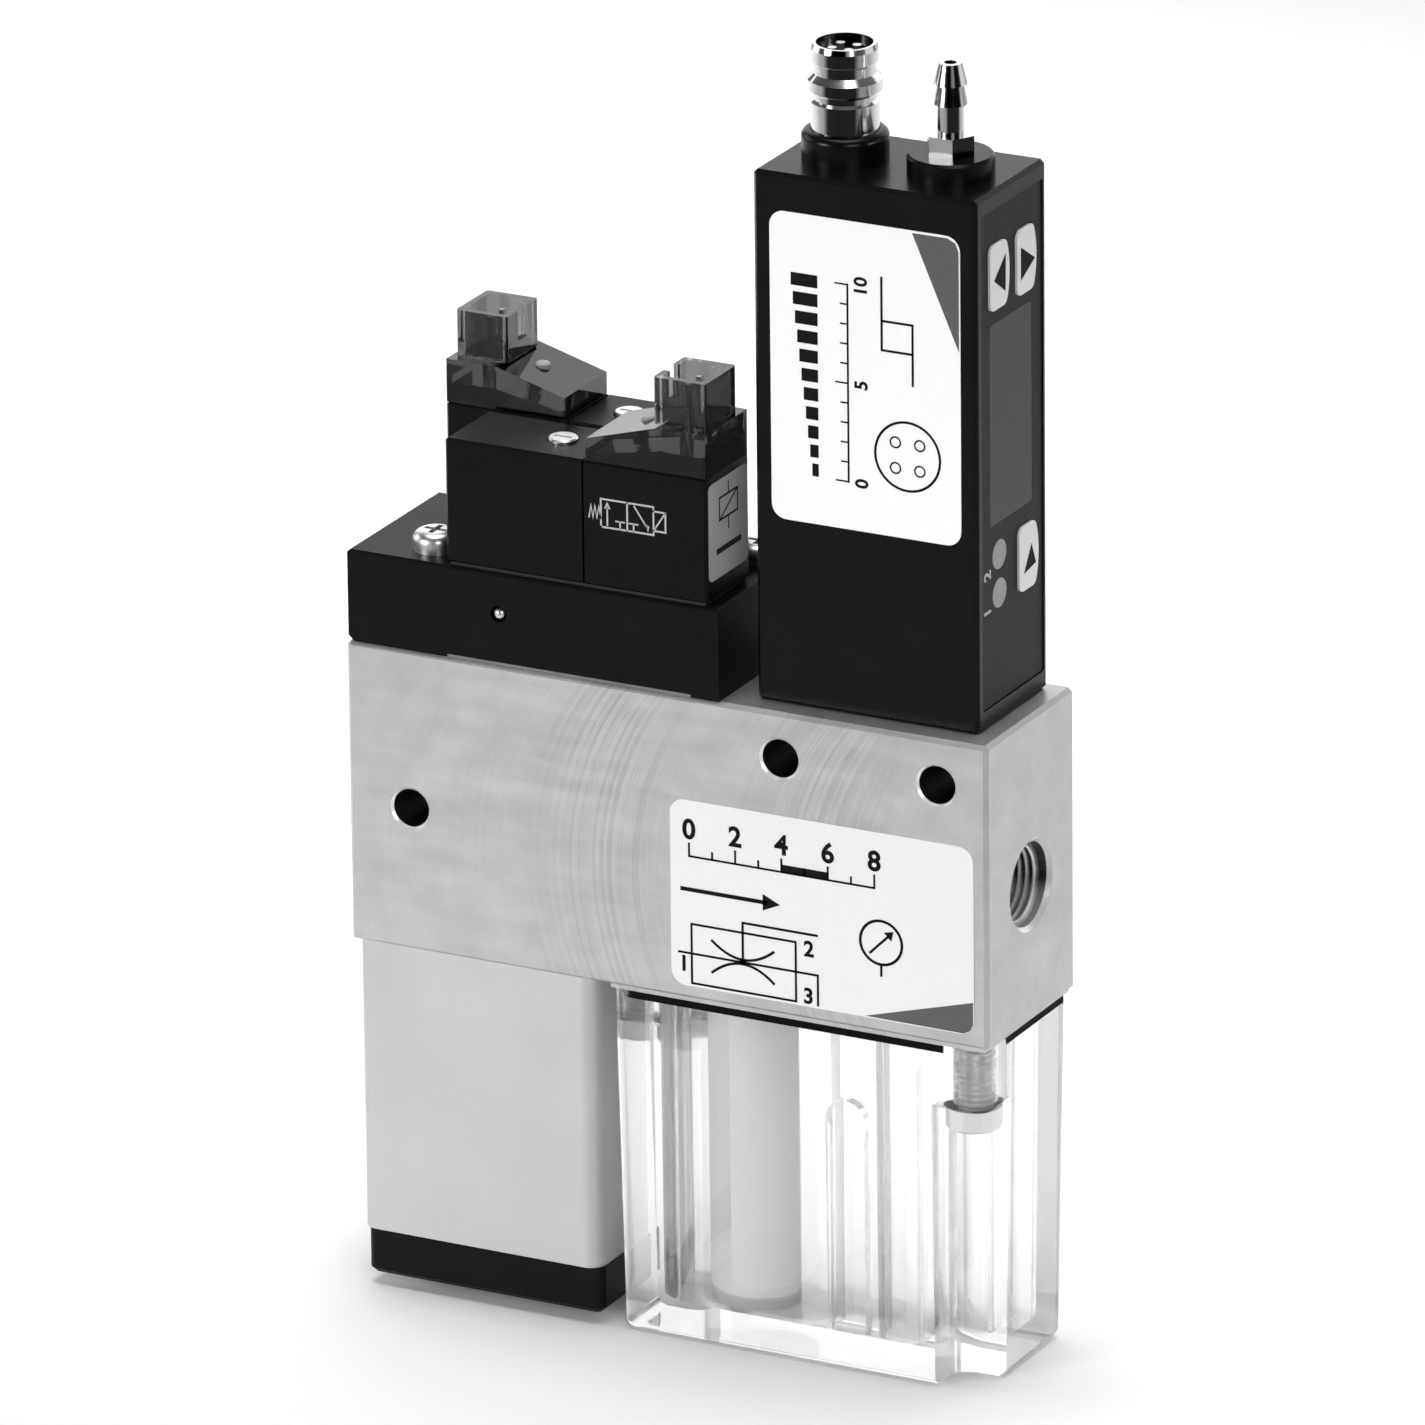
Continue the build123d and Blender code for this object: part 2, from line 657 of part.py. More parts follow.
def chamber_plan():
    """The inside of the bowl in plan: a wide left chamber, a neck, and a narrower right one."""
    y0 = BOWL_INSET + BOWL_WALL
    y1 = BODY_D - BOWL_INSET - BOWL_WALL
    x0 = BOWL_X0 + BOWL_WALL
    left = Pos((x0 + CHAMBER_SPLIT_X) / 2, MID_Y) * rounded(CHAMBER_SPLIT_X - x0, y1 - y0, CHAMBER_R)
    neck_y = (CHAMBER_NECK_Y + y1 - CHAMBER_R / 3) / 2
    neck_h = y1 - CHAMBER_R / 3 - CHAMBER_NECK_Y
    neck_x0 = CHAMBER_SPLIT_X - CHAMBER_R / 2
    neck_x1 = CHAMBER_RIGHT_X0 + CHAMBER_RIGHT_R
    neck = Pos((neck_x0 + neck_x1) / 2, neck_y) * Rectangle(neck_x1 - neck_x0, neck_h)
    shoulder = Pos((CHAMBER_RIGHT_X0 + CHAMBER_SHOULDER_X) / 2, MID_Y) * rounded(
        CHAMBER_SHOULDER_X - CHAMBER_RIGHT_X0, y1 - y0, CHAMBER_RIGHT_R
    )
    right = Pos((CHAMBER_RIGHT_X0 + CHAMBER_RIGHT_X1) / 2, (CHAMBER_SHOULDER_Y + y1) / 2) * rounded(
        CHAMBER_RIGHT_X1 - CHAMBER_RIGHT_X0, y1 - CHAMBER_SHOULDER_Y, CHAMBER_RIGHT_R
    )
    flute = Pos(FLUTE_X + FLUTE_REACH / 2, FLUTE_Y - FLUTE_REACH / 2) * rounded(
        FLUTE_REACH + 2 * FLUTE_WALL, FLUTE_REACH + 2 * FLUTE_WALL, FLUTE_R + FLUTE_WALL
    )
    return left + neck + shoulder + right - across_the_bowl(flute)


def gasket_plan(shrink):
    """The flat joint between bowl and body. It runs inside the two screws."""
    x0 = GASKET_X0 + shrink
    x1 = BOWL_X1 - shrink
    y0 = BOWL_INSET + shrink
    y1 = BODY_D - BOWL_INSET - shrink
    plan = Pos((x0 + x1) / 2, (y0 + y1) / 2) * rounded(x1 - x0, y1 - y0, BOWL_CORNER_R)
    for x, y in screw_corners():
        plan = plan - Pos(x, y) * Circle(SCREW_EYE_R + shrink)
    return plan


def bowl_gasket():
    chambers = offset(chamber_plan(), GASKET_BORDER / 2)
    sheet = gasket_plan(FIT) - chambers
    return extrude(Pos(0, 0, -SEAT_T - GASKET_T) * sheet, amount=GASKET_T)


def screw_flutes():
    """The corners cut away below the flange, so that a driver reaches the screws."""
    height = (BOWL_BOTTOM - 1, -SEAT_T - FLANGE_H)
    near = upright((FLUTE_X, FLUTE_X + FLUTE_REACH), (FLUTE_Y - FLUTE_REACH, FLUTE_Y), height, FLUTE_R)
    return near + across_the_bowl(near)


def sight_groove():
    """The groove with a round top in the middle of the front wall."""
    arch = Pos(GROOVE_X, GROOVE_R, GROOVE_TOP - GROOVE_R) * Sphere(GROOVE_R)
    shaft = rod_z(GROOVE_X, GROOVE_R, (GROOVE_FOOT, GROOVE_TOP - GROOVE_R), GROOVE_R)
    front = box_between(
        (GROOVE_X - GROOVE_R, GROOVE_X + GROOVE_R),
        (-1, BOWL_INSET + 0.8),
        (GROOVE_FOOT, GROOVE_TOP - GROOVE_R),
    )
    mouth = rod_y(GROOVE_X, (-1, GROOVE_R), GROOVE_TOP - GROOVE_R, GROOVE_R)
    return (arch + shaft + front + mouth) & box_between((0, BODY_L), (-2, GROOVE_R), (BOWL_BOTTOM, 0))


def filter_bowl():
    """The clear bowl: drafted walls, two chambers, a thick floor and two screw corners."""
    middle = ((BOWL_X0 + BOWL_X1) / 2, MID_Y, -SEAT_T)
    top = Plane(origin=middle, x_dir=(1, 0, 0), z_dir=(0, 0, -1))
    depth = -SEAT_T - BOWL_BOTTOM
    outline = rounded(BOWL_X1 - BOWL_X0, BODY_D - 2 * BOWL_INSET, BOWL_CORNER_R)
    bowl = extrude(top * outline, amount=depth, taper=BOWL_DRAFT)
    bowl = fillet(bowl.edges().group_by(Axis.Z)[0], BOWL_FOOT_R)
    bowl = bowl - screw_flutes()
    chambers = extrude(Pos(0, 0, BOWL_BOTTOM + BOWL_FLOOR) * chamber_plan(), amount=depth)
    bowl = bowl - chambers - sight_groove()
    recess = extrude(Pos(0, 0, -SEAT_T - GASKET_T) * gasket_plan(0), amount=GASKET_T + 1)
    bowl = bowl - recess
    for x, y in screw_corners():
        bowl = bowl - rod_z(x, y, (BOWL_BOTTOM, 0), BOWL_SCREW_R + SLACK)
    return bowl


def bowl_screws():
    """Cheese-head screws with a hexagon socket, up through the flange of the bowl."""
    under = -SEAT_T - FLANGE_H
    screws = []
    for x, y in screw_corners():
        shank = rod_z(x, y, (under, BOWL_SCREW_GRIP - 0.5), BOWL_SCREW_R)
        head = rod_z(x, y, (under - BOWL_HEAD_H, under), BOWL_HEAD_R)
        head = chamfer(head.edges().group_by(Axis.Z)[0], 0.3)
        hexagon = Pos(x, y, under - BOWL_HEAD_H) * RegularPolygon(BOWL_HEX_R, 6)
        socket = extrude(hexagon, amount=BOWL_HEX_DEPTH)
        screws.append(shank + head - socket)
    return joined(screws)


def filter_element():
    low = BOWL_BOTTOM + BOWL_FLOOR + FILTER_CAP_T
    tube = rod_z(SUCTION_X, MID_Y, (low, -SEAT_T), FILTER_R)
    return tube - rod_z(SUCTION_X, MID_Y, (low, -SEAT_T), FILTER_BORE_R)


def filter_cap():
    """Closes the lower end of the filter and stands on the floor of the bowl."""
    low = BOWL_BOTTOM + BOWL_FLOOR
    disc = rod_z(SUCTION_X, MID_Y, (low, low + FILTER_CAP_T), FILTER_R)
    spigot = rod_z(SUCTION_X, MID_Y, (low, low + 3 * FILTER_CAP_T), FILTER_BORE_R - SLACK)
    return disc + spigot


def valve_manifold():
    """The black block under the valves, with its drilled galleries."""
    y = (MANI_INSET, BODY_D - MANI_INSET)
    block = box_between((MANI_X0, MANI_X1), y, (BODY_H, MANI_TOP))
    foot = block.edges().filter_by(Axis.Y).group_by(Axis.Z)[0].sort_by(Axis.X)[0]
    block = chamfer(foot, MANI_FOOT_CHAMFER)
    rim = block.edges().group_by(Axis.Z)[-1]
    block = chamfer(rim, MANI_EDGE)
    seal = box_between((MANI_SEAL_X0, MANI_SEAL_X1), (-1, BODY_D + 1), (BODY_H - 1, BODY_H + MANI_SEAL_T))
    rear_y = BODY_D - VALVE_MID_Y
    cuts = [
        seal,
        rod_z(SUPPLY_RISE_X, MID_Y, (BODY_H, GALLERY_Z), SUPPLY_RISE_R),
        rod_x((MANI_X0, GALLERY_X), MID_Y, GALLERY_Z, GALLERY_R),
        rod_y(GALLERY_X, (0, rear_y + GALLERY_R), GALLERY_Z, GALLERY_R),
        rod_z(GALLERY_X, VALVE_MID_Y, (GALLERY_Z, MANI_TOP), GALLERY_R),
        rod_z(GALLERY_X, rear_y, (GALLERY_Z, MANI_TOP), GALLERY_R),
        rod_z(FEED_X, FEED_Y, (BODY_H, MANI_TOP), FEED_R),
        rod_z(BLOW_X, BLOW_Y, (BODY_H, MANI_TOP), BLOW_R),
    ]
    for x, y_screw in manifold_screw_places():
        cuts.append(rod_z(x, y_screw, (BODY_H, MANI_TOP), MANI_SCREW_R + SLACK))
    for cut in cuts:
        block = block - cut
    return block


def manifold_gasket():
    """The thin grey joint in the shallow recess under the manifold."""
    z = (BODY_H, BODY_H + MANI_SEAL_T)
    sheet = box_between((MANI_SEAL_X0 + FIT, MANI_SEAL_X1 - FIT), (0.25, BODY_D - 0.25), z)
    sheet = sheet - rod_z(BLOW_X, BLOW_Y, z, BLOW_R + SLACK)
    for x, y_screw in manifold_screw_places():
        sheet = sheet - rod_z(x, y_screw, z, MANI_SCREW_R + 2 * SLACK)
    feed = box_between((FEED_X - 2, MANI_SEAL_X1), (FEED_Y - 2, FEED_Y + 2), z)
    return sheet - feed


def cross_recess(x, y, top):
    """The cross-shaped driver recess of a screw."""
    z = (top - CROSS_DEPTH, top + 1)
    one = box_between((x - CROSS_L / 2, x + CROSS_L / 2), (y - CROSS_W / 2, y + CROSS_W / 2), z)
    other = box_between((x - CROSS_W / 2, x + CROSS_W / 2), (y - CROSS_L / 2, y + CROSS_L / 2), z)
    return one + other


def manifold_screws():
    """Pan-head screws that hold the manifold to the body."""
    screws = []
    for x, y in manifold_screw_places():
        shank = rod_z(x, y, (BODY_H - MANI_SCREW_GRIP, MANI_TOP), MANI_SCREW_R)
        head = rod_z(x, y, (MANI_TOP, MANI_TOP + PAN_HEAD_H), PAN_HEAD_R)
        head = fillet(head.edges().group_by(Axis.Z)[-1], PAN_HEAD_H * 0.5)
        screws.append(shank + head - cross_recess(x, y, MANI_TOP + PAN_HEAD_H))
    return joined(screws)


def gallery_balls():
    """Steel balls pressed into the drilled ends of the two galleries."""
    sink = BALL_R * 0.8
    front = Pos(GALLERY_X, MANI_INSET + sink, GALLERY_Z) * Sphere(BALL_R)
    left = Pos(MANI_X0 + sink, MID_Y, GALLERY_Z) * Sphere(BALL_R)
    return joined([front, left])


def slope_start():
    """Where the flat end of a cap gives way to its slope."""
    return VALVE_X1 - CAP_INSET - CAP_FLAT_L


def cap_end():
    return VALVE_X1 - CAP_INSET - CAP_L


def wedge(x, y, low, high, tip):
    """A block that is flat at its outer end and slopes down towards the middle of the valve."""
    points = [
        (x[1], low),
        (x[1], high),
        (slope_start(), high),
        (x[0], tip),
        (x[0], low),
    ]
    face = Plane.XZ.offset(-y[1]) * make_face(Polyline(*points, close=True))
    return extrude(face, amount=y[1] - y[0])


def core_block(grow):
    """The raised end of the valve body that the smoked cap covers."""
    inset = CAP_INSET + CAP_WALL - grow
    x = (cap_end() + CAP_WALL - grow, VALVE_X1 - inset)
    y = (VALVE_Y0 + inset, VALVE_Y1 - inset)
    low = VALVE_TOP - CORE_ROOT
    return wedge(x, y, low, VALVE_TOP + CORE_H + grow, VALVE_TOP + CORE_TIP_H + grow)


def valve_body():
    """The black body of a solenoid valve, with the seat of its cap and of its override button."""
    y = (VALVE_Y0, VALVE_Y1)
    low = MANI_TOP + VALVE_SEAL_T
    body = box_between((VALVE_X0, VALVE_X1), y, (low, VALVE_TOP))
    body = chamfer(body.edges(), VALVE_EDGE)
    groove_x = (JOINT_LINE_X, JOINT_LINE_X + JOINT_LINE)
    groove = box_between(groove_x, (y[0] - 1, y[1] + 1), (low - 1, VALVE_TOP + 1))
    core = box_between(
        (JOINT_LINE_X - 1, JOINT_LINE_X + 1),
        (y[0] + JOINT_LINE, y[1] - JOINT_LINE),
        (low, VALVE_TOP - JOINT_LINE),
    )
    body = body - (groove - core)
    body = body + core_block(0)
    depth = OVERRIDE_L - OVERRIDE_PROUD + OVERRIDE_TRAVEL + SLACK
    body = body - rod_z(OVERRIDE_X, VALVE_MID_Y, (VALVE_TOP - depth, VALVE_TOP), OVERRIDE_R + SLACK)
    return body


def pin_places():
    x = VALVE_X1 - SHROUD_END_GAP - CAP_INSET - SHROUD_L / 2
    return [(x, VALVE_MID_Y - PIN_PITCH / 2), (x, VALVE_MID_Y + PIN_PITCH / 2)]


def valve_cap():
    """The smoked cap with the plug shroud on top. A slot in the shroud keys the plug."""
    y = (VALVE_Y0 + CAP_INSET, VALVE_Y1 - CAP_INSET)
    top = VALVE_TOP + CAP_H
    cap = wedge((cap_end(), VALVE_X1 - CAP_INSET), y, VALVE_TOP, top, VALVE_TOP + CAP_TIP_H)
    cap = cap - core_block(FIT)
    x1 = VALVE_X1 - CAP_INSET - SHROUD_END_GAP
    x0 = x1 - SHROUD_L
    half = SHROUD_W / 2
    shroud = upright((x0, x1), (VALVE_MID_Y - half, VALVE_MID_Y + half), (top, top + SHROUD_H), 0.4)
    socket = upright(
        (x0 + SHROUD_WALL, x1 - SHROUD_WALL),
        (VALVE_MID_Y - half + SHROUD_WALL, VALVE_MID_Y + half - SHROUD_WALL),
        (top, top + SHROUD_H),
        0.2,
    )
    key = box_between(
        (x0, x0 + SHROUD_WALL),
        (VALVE_MID_Y - SHROUD_KEY_W / 2, VALVE_MID_Y + SHROUD_KEY_W / 2),
        (top + SHROUD_H - SHROUD_KEY_H, top + SHROUD_H),
    )
    cap = cap + (shroud - socket - key)
    for x, y_pin in pin_places():
        hole = PIN_T / 2 + FIT
        cap = cap - box_between((x - hole, x + hole), (y_pin - hole, y_pin + hole), (VALVE_TOP, top + 1))
    return cap - lamp_rod(LAMP_R + FIT, top)


def valve_pins():
    """The two square terminal pins in the plug shroud."""
    low = VALVE_TOP + CORE_H + FIT
    high = VALVE_TOP + CAP_H + SHROUD_H - PIN_TOP_GAP
    half = PIN_T / 2
    pins = [box_between((x - half, x + half), (y - half, y + half), (low, high)) for x, y in pin_places()]
    return joined(pins)


def cap_slope_z(x):
    """The height of the sloped top of the cap at one place along the valve."""
    share = (slope_start() - x) / (slope_start() - cap_end())
    return VALVE_TOP + CAP_H - share * (CAP_H - CAP_TIP_H)


def core_slope_z(x):
    """The height of the core block under the same place."""
    share = (slope_start() - x) / (slope_start() - cap_end() - CAP_WALL)
    return VALVE_TOP + CORE_H - share * (CORE_H - CORE_TIP_H)


def lamp_rod(radius, high):
    """An upright rod from just above the core block up through the slope of the cap."""
    low = core_slope_z(LAMP_X + LAMP_R) + FIT
    return rod_z(LAMP_X, VALVE_MID_Y, (low, high), radius)


def valve_lamp():
    """The small round lamp in the slope of the cap."""
    lamp = lamp_rod(LAMP_R, cap_slope_z(LAMP_X) + LAMP_RISE)
    return fillet(lamp.edges().group_by(Axis.Z)[-1], LAMP_EDGE)


def override_button():
    """The manual override: a round button that is pushed down."""
    high = VALVE_TOP + OVERRIDE_PROUD
    button = rod_z(OVERRIDE_X, VALVE_MID_Y, (high - OVERRIDE_L, high), OVERRIDE_R)
    button = chamfer(button.edges().group_by(Axis.Z)[-1], OVERRIDE_EDGE)
    length, width, depth = OVERRIDE_SLOT
    return button - Pos(OVERRIDE_X, VALVE_MID_Y, high - depth / 2) * Box(length, width, depth)


def valve_seal():
    """The rubber foot between a valve and the manifold."""
    y = (VALVE_Y0 + 0.4, VALVE_Y1 - 0.4)
    sheet = box_between((VALVE_X0 + 0.4, VALVE_X1 - 0.4), y, (MANI_TOP, MANI_TOP + VALVE_SEAL_T))
    port = rod_z(GALLERY_X, VALVE_MID_Y, (MANI_TOP, MANI_TOP + VALVE_SEAL_T), GALLERY_R)
    return sheet - port


def valve_label():
    """The label on the outer end of a valve."""
    y = (VALVE_Y0 + VALVE_LABEL_MARGIN, VALVE_Y1 - VALVE_LABEL_MARGIN)
    high = VALVE_TOP - 2 * VALVE_LABEL_MARGIN
    z = (high - VALVE_LABEL_H, high)
    return facing_right(y, z, (VALVE_X1, VALVE_X1 + LABEL_T), SMALL_LABEL_R)


def panel_z():
    return (BODY_H + PANEL_LOW, SWITCH_TOP - PANEL_HIGH)


def panel_face():
    """The outer face of the keypad panel, a little below the rim of the housing."""
    return SWITCH_X1 - PANEL_SINK


def inner_y():
    return (PANEL_Y0 + LEDGE, PANEL_Y1 - LEDGE)


def inner_z():
    low, high = panel_z()
    return (low + LEDGE, high - LEDGE)


def board_x():
    back = panel_face() - PANEL_T - BOARD_GAP
    return (back - BOARD_T, back)


def switch_housing():
    """The hollow black housing of the switch. Its right side is closed by the keypad panel."""
    housing = box_between((SWITCH_X0, SWITCH_X1), (SWITCH_Y0, SWITCH_Y1), (BODY_H, SWITCH_TOP))
    housing = chamfer(housing.edges(), SWITCH_EDGE)
    mouth = facing_right(
        (PANEL_Y0, PANEL_Y1), panel_z(), (panel_face() - PANEL_T, SWITCH_X1), PANEL_R
    )
    hollow = box_between((SWITCH_X0 + SWITCH_WALL, SWITCH_X1), inner_y(), inner_z())
    collar = rod_z(PLUG_X, CONNECTOR_Y, (SWITCH_TOP, SWITCH_TOP + COLLAR_H), COLLAR_R)
    collar = fillet(collar.edges().group_by(Axis.Z)[-1], COLLAR_EDGE)
    boss = rod_z(NIPPLE_X, CONNECTOR_Y, (SWITCH_TOP, SWITCH_TOP + BOSS_H), BOSS_R)
    boss = chamfer(boss.edges().group_by(Axis.Z)[-1], 0.3)
    housing = housing + collar + boss - mouth - hollow
    foot_z = (SWITCH_TOP - SHELL_SINK, SWITCH_TOP + COLLAR_H)
    housing = housing - rod_z(PLUG_X, CONNECTOR_Y, foot_z, SHELL_FOOT_R + FIT)
    spigot_z = (SWITCH_TOP + BOSS_H - NIPPLE_SPIGOT_L, SWITCH_TOP + BOSS_H)
    housing = housing - rod_z(NIPPLE_X, CONNECTOR_Y, spigot_z, NIPPLE_NECK_R + FIT)
    housing = housing - rod_z(NIPPLE_X, CONNECTOR_Y, (inner_z()[1], SWITCH_TOP + 1), NIPPLE_BORE_R)
    return housing - rod_z(SENSE_X, MID_Y, (BODY_H, inner_z()[0]), SENSE_R)


def key_outline(y, z, grow):
    """A key with three straight sides and a bulged far side, in the plane of the panel."""
    left = y - grow
    right = y + KEY_W + grow
    low = z - grow
    high = z + KEY_H + grow
    sides = Polyline((right, low), (left, low), (left, high), (right, high))
    bulge = ThreePointArc((right, high), (right + KEY_BULGE, (low + high) / 2), (right, low))
    face = make_face([sides, bulge])
    return fillet(face.vertices(), KEY_CORNER + grow)


def key_solid(y, z, x, grow):
    return extrude(Plane.YZ.offset(x[0]) * key_outline(y, z, grow), amount=x[1] - x[0])


def panel_key(y, z):
    """A key that stands proud of the panel and has a flange behind it."""
    back = panel_face() - PANEL_T - SLACK
    stem = key_solid(y, z, (back - KEY_FLANGE_T, panel_face() + KEY_PROUD), 0)
    flange = key_solid(y, z, (back - KEY_FLANGE_T, back), KEY_FLANGE)
    return stem + flange


def led_places():
    return [(LED_Y, LED_LOW_Z), (LED_Y, LED_LOW_Z + LED_PITCH)]


def keypad_panel():
    """The dark panel with holes for the keys, the display window and the two lamps."""
    x = (panel_face() - PANEL_T, panel_face())
    low, high = panel_z()
    panel = facing_right((PANEL_Y0 + FIT, PANEL_Y1 - FIT), (low + FIT, high - FIT), x, PANEL_R)
    for y, z in KEY_PLACES.values():
        panel = panel - key_solid(y, z, x, SLACK)
    panel = panel - facing_right((WINDOW_Y0, WINDOW_Y1), (WINDOW_Z0, WINDOW_Z0 + WINDOW_H), x, PANEL_R)
    for y, z in led_places():
        panel = panel - rod_x(x, y, z, LED_R + FIT)
    return panel


def display_window():
    x = (panel_face() - WINDOW_T, panel_face())
    y = (WINDOW_Y0 + FIT, WINDOW_Y1 - FIT)
    return facing_right(y, (WINDOW_Z0 + FIT, WINDOW_Z0 + WINDOW_H - FIT), x, PANEL_R)


def display_module():
    """The display behind the window, on the circuit board."""
    x = (board_x()[1], panel_face() - WINDOW_T - FIT)
    y = (WINDOW_Y0 + 2 * FIT, WINDOW_Y1 - 2 * FIT)
    return box_between(x, y, (WINDOW_Z0 + 2 * FIT, WINDOW_Z0 + WINDOW_H - 2 * FIT))


def circuit_board():
    y = inner_y()
    z = inner_z()
    return box_between(board_x(), (y[0] + FIT, y[1] - FIT), (z[0] + FIT, z[1] - FIT))


def led_lenses():
    x = (board_x()[1] + FIT, panel_face())
    return joined([rod_x(x, y, z, LED_R) for y, z in led_places()])


def pressure_sensor():
    """The sensing cell over the vacuum passage, on the floor of the housing."""
    low = inner_z()[0]
    cell = rod_z(SENSE_X, MID_Y, (low, low + SENSOR_H), SENSOR_R)
    return cell - rod_z(SENSE_X, MID_Y, (low, low + SENSOR_H / 2), SENSE_R)


def switch_seal():
    """The rubber ring under the switch, round the sensing passage."""
    outer = SEAL_POCKET_R - FIT
    ring = rod_z(SENSE_X, MID_Y, (BODY_H - SEAL_POCKET_DEPTH, BODY_H), outer)
    return ring - rod_z(SENSE_X, MID_Y, (BODY_H - SEAL_POCKET_DEPTH, BODY_H), SENSE_R)


def connector_shell():
    """The metal shell of the round connector, with its snap bead and its rolled rim."""
    waist = SHELL_WAIST_R
    bead = SHELL_BEAD_Z + SHELL_BEAD_H
    rim = SHELL_H - SHELL_RIM_H
    outline = [
        (SHELL_BORE_R, -SHELL_SINK),
        (SHELL_FOOT_R, -SHELL_SINK),
        (SHELL_FOOT_R, SHELL_FOOT_H),
        (waist, SHELL_FOOT_H + 0.3),
        (waist, SHELL_BEAD_Z),
        (SHELL_BEAD_R, SHELL_BEAD_Z + 0.5),
        (SHELL_BEAD_R, bead - 0.7),
        (waist, bead),
        (waist, rim),
        (SHELL_RIM_R, rim + SHELL_RIM_R - SHELL_WAIST_R),
        (SHELL_RIM_R, SHELL_H - SHELL_RIM_EDGE),
        (SHELL_TOP_R, SHELL_H),
        (SHELL_BORE_R, SHELL_H),
    ]
    return turned_z(PLUG_X, CONNECTOR_Y, SWITCH_TOP, outline)


def connector_insert():
    """The insulator inside the shell, with a key slot at the back."""
    high = SWITCH_TOP + SHELL_H - INSERT_TOP_GAP
    body = rod_z(PLUG_X, CONNECTOR_Y, (SWITCH_TOP - SHELL_SINK, high), SHELL_BORE_R - FIT)
    edge = CONNECTOR_Y + SHELL_BORE_R
    slot = box_between((PLUG_X - 0.6, PLUG_X + 0.6), (edge - 0.8, edge + 1), (high - 2, high + 1))
    body = body - slot
    for x, y in contact_places():
        body = body - rod_z(x, y, (high - CONTACT_SINK, high), CONTACT_R + FIT)
    return body


def contact_places():
    spread = CONTACT_RING_R * 0.70710678
    return [
        (PLUG_X + side_x * spread, CONNECTOR_Y + side_y * spread)
        for side_x in (-1, 1)
        for side_y in (-1, 1)
    ]


def connector_contacts():
    """Four round pins."""
    low = SWITCH_TOP + SHELL_H - INSERT_TOP_GAP - CONTACT_SINK
    high = SWITCH_TOP + SHELL_H - CONTACT_TOP_GAP
    return joined([rod_z(x, y, (low, high), CONTACT_R) for x, y in contact_places()])


def hose_nipple():
    """The barbed nipple: a spigot in the boss, a hexagon, a neck and two barbs."""
    base = SWITCH_TOP + BOSS_H
    neck_top = NIPPLE_BARB_Z
    second = neck_top + NIPPLE_BARB_H
    outline = [
        (NIPPLE_BORE_R, BOSS_H - NIPPLE_SPIGOT_L),
        (NIPPLE_NECK_R, BOSS_H - NIPPLE_SPIGOT_L),
        (NIPPLE_NECK_R, neck_top),
        (NIPPLE_BARB_R, neck_top + 0.1),
        (NIPPLE_NECK_R, second),
        (NIPPLE_BARB_R, second + 0.1),
        (NIPPLE_TIP_R, NIPPLE_H),
        (NIPPLE_BORE_R, NIPPLE_H),
    ]
    stem = turned_z(NIPPLE_X, CONNECTOR_Y, SWITCH_TOP, outline)
    hexagon = Pos(NIPPLE_X, CONNECTOR_Y, base) * RegularPolygon(NIPPLE_HEX_R, 6, major_radius=False)
    collar = extrude(hexagon, amount=NIPPLE_HEX_H)
    collar = collar - rod_z(NIPPLE_X, CONNECTOR_Y, (base, base + NIPPLE_HEX_H), NIPPLE_NECK_R)
    return stem + collar


def body_label():
    return facing_front(BODY_LABEL_X, BODY_LABEL_Z, (-LABEL_T, 0), LABEL_R)


def switch_label():
    return facing_front(SWITCH_LABEL_X, SWITCH_LABEL_Z, (SWITCH_Y0 - LABEL_T, SWITCH_Y0), LABEL_R)


def all_nodes():
    """Every piece by the name of its file."""
    nodes = {
        "body_block": body_block(),
        "bore_plug": bore_plug(),
        "motive_nozzle": motive_nozzle(),
        "receiver_tube": receiver_tube(),
        "cartridge_seals": cartridge_seals(),
        "silencer_housing": silencer_housing(),
        "silencer_insert": silencer_insert(),
        "silencer_cap": silencer_cap(),
        "silencer_screws": silencer_screws(),
        "filter_bowl": filter_bowl(),
        "bowl_gasket": bowl_gasket(),
        "bowl_screws": bowl_screws(),
        "filter_element": filter_element(),
        "filter_cap": filter_cap(),
        "valve_manifold": valve_manifold(),
        "manifold_gasket": manifold_gasket(),
        "manifold_screws": manifold_screws(),
        "gallery_balls": gallery_balls(),
        "switch_housing": switch_housing(),
        "keypad_panel": keypad_panel(),
        "display_window": display_window(),
        "display_module": display_module(),
        "circuit_board": circuit_board(),
        "led_lenses": led_lenses(),
        "pressure_sensor": pressure_sensor(),
        "switch_seal": switch_seal(),
        "connector_shell": connector_shell(),
        "connector_insert": connector_insert(),
        "connector_contacts": connector_contacts(),
        "hose_nipple": hose_nipple(),
        "body_label": body_label(),
        "switch_label": switch_label(),
    }
    valve_pieces = {
        "valve_body": valve_body(),
        "valve_cap": valve_cap(),
        "valve_pins": valve_pins(),
        "valve_lamp": valve_lamp(),
        "valve_seal": valve_seal(),
        "valve_label": valve_label(),
        "override_button": override_button(),
    }
    for name, piece in valve_pieces.items():
        nodes[name + "_front"] = piece
        nodes[name + "_rear"] = half_turned(piece)
    for name, place in KEY_PLACES.items():
        nodes[name] = panel_key(*place)
    return nodes


def main():
    os.makedirs("parts", exist_ok=True)
    to_foot = Pos(-BODY_L / 2, -BODY_D / 2, -BOWL_BOTTOM)
    for name, piece in all_nodes().items():
        export_step(to_foot * piece, "parts/" + name + ".step")


main()
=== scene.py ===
"""The looks of a compact vacuum ejector: finishes, prints, threads, light and view."""
import math

import bmesh
import bpy
from mathutils import Matrix, Vector


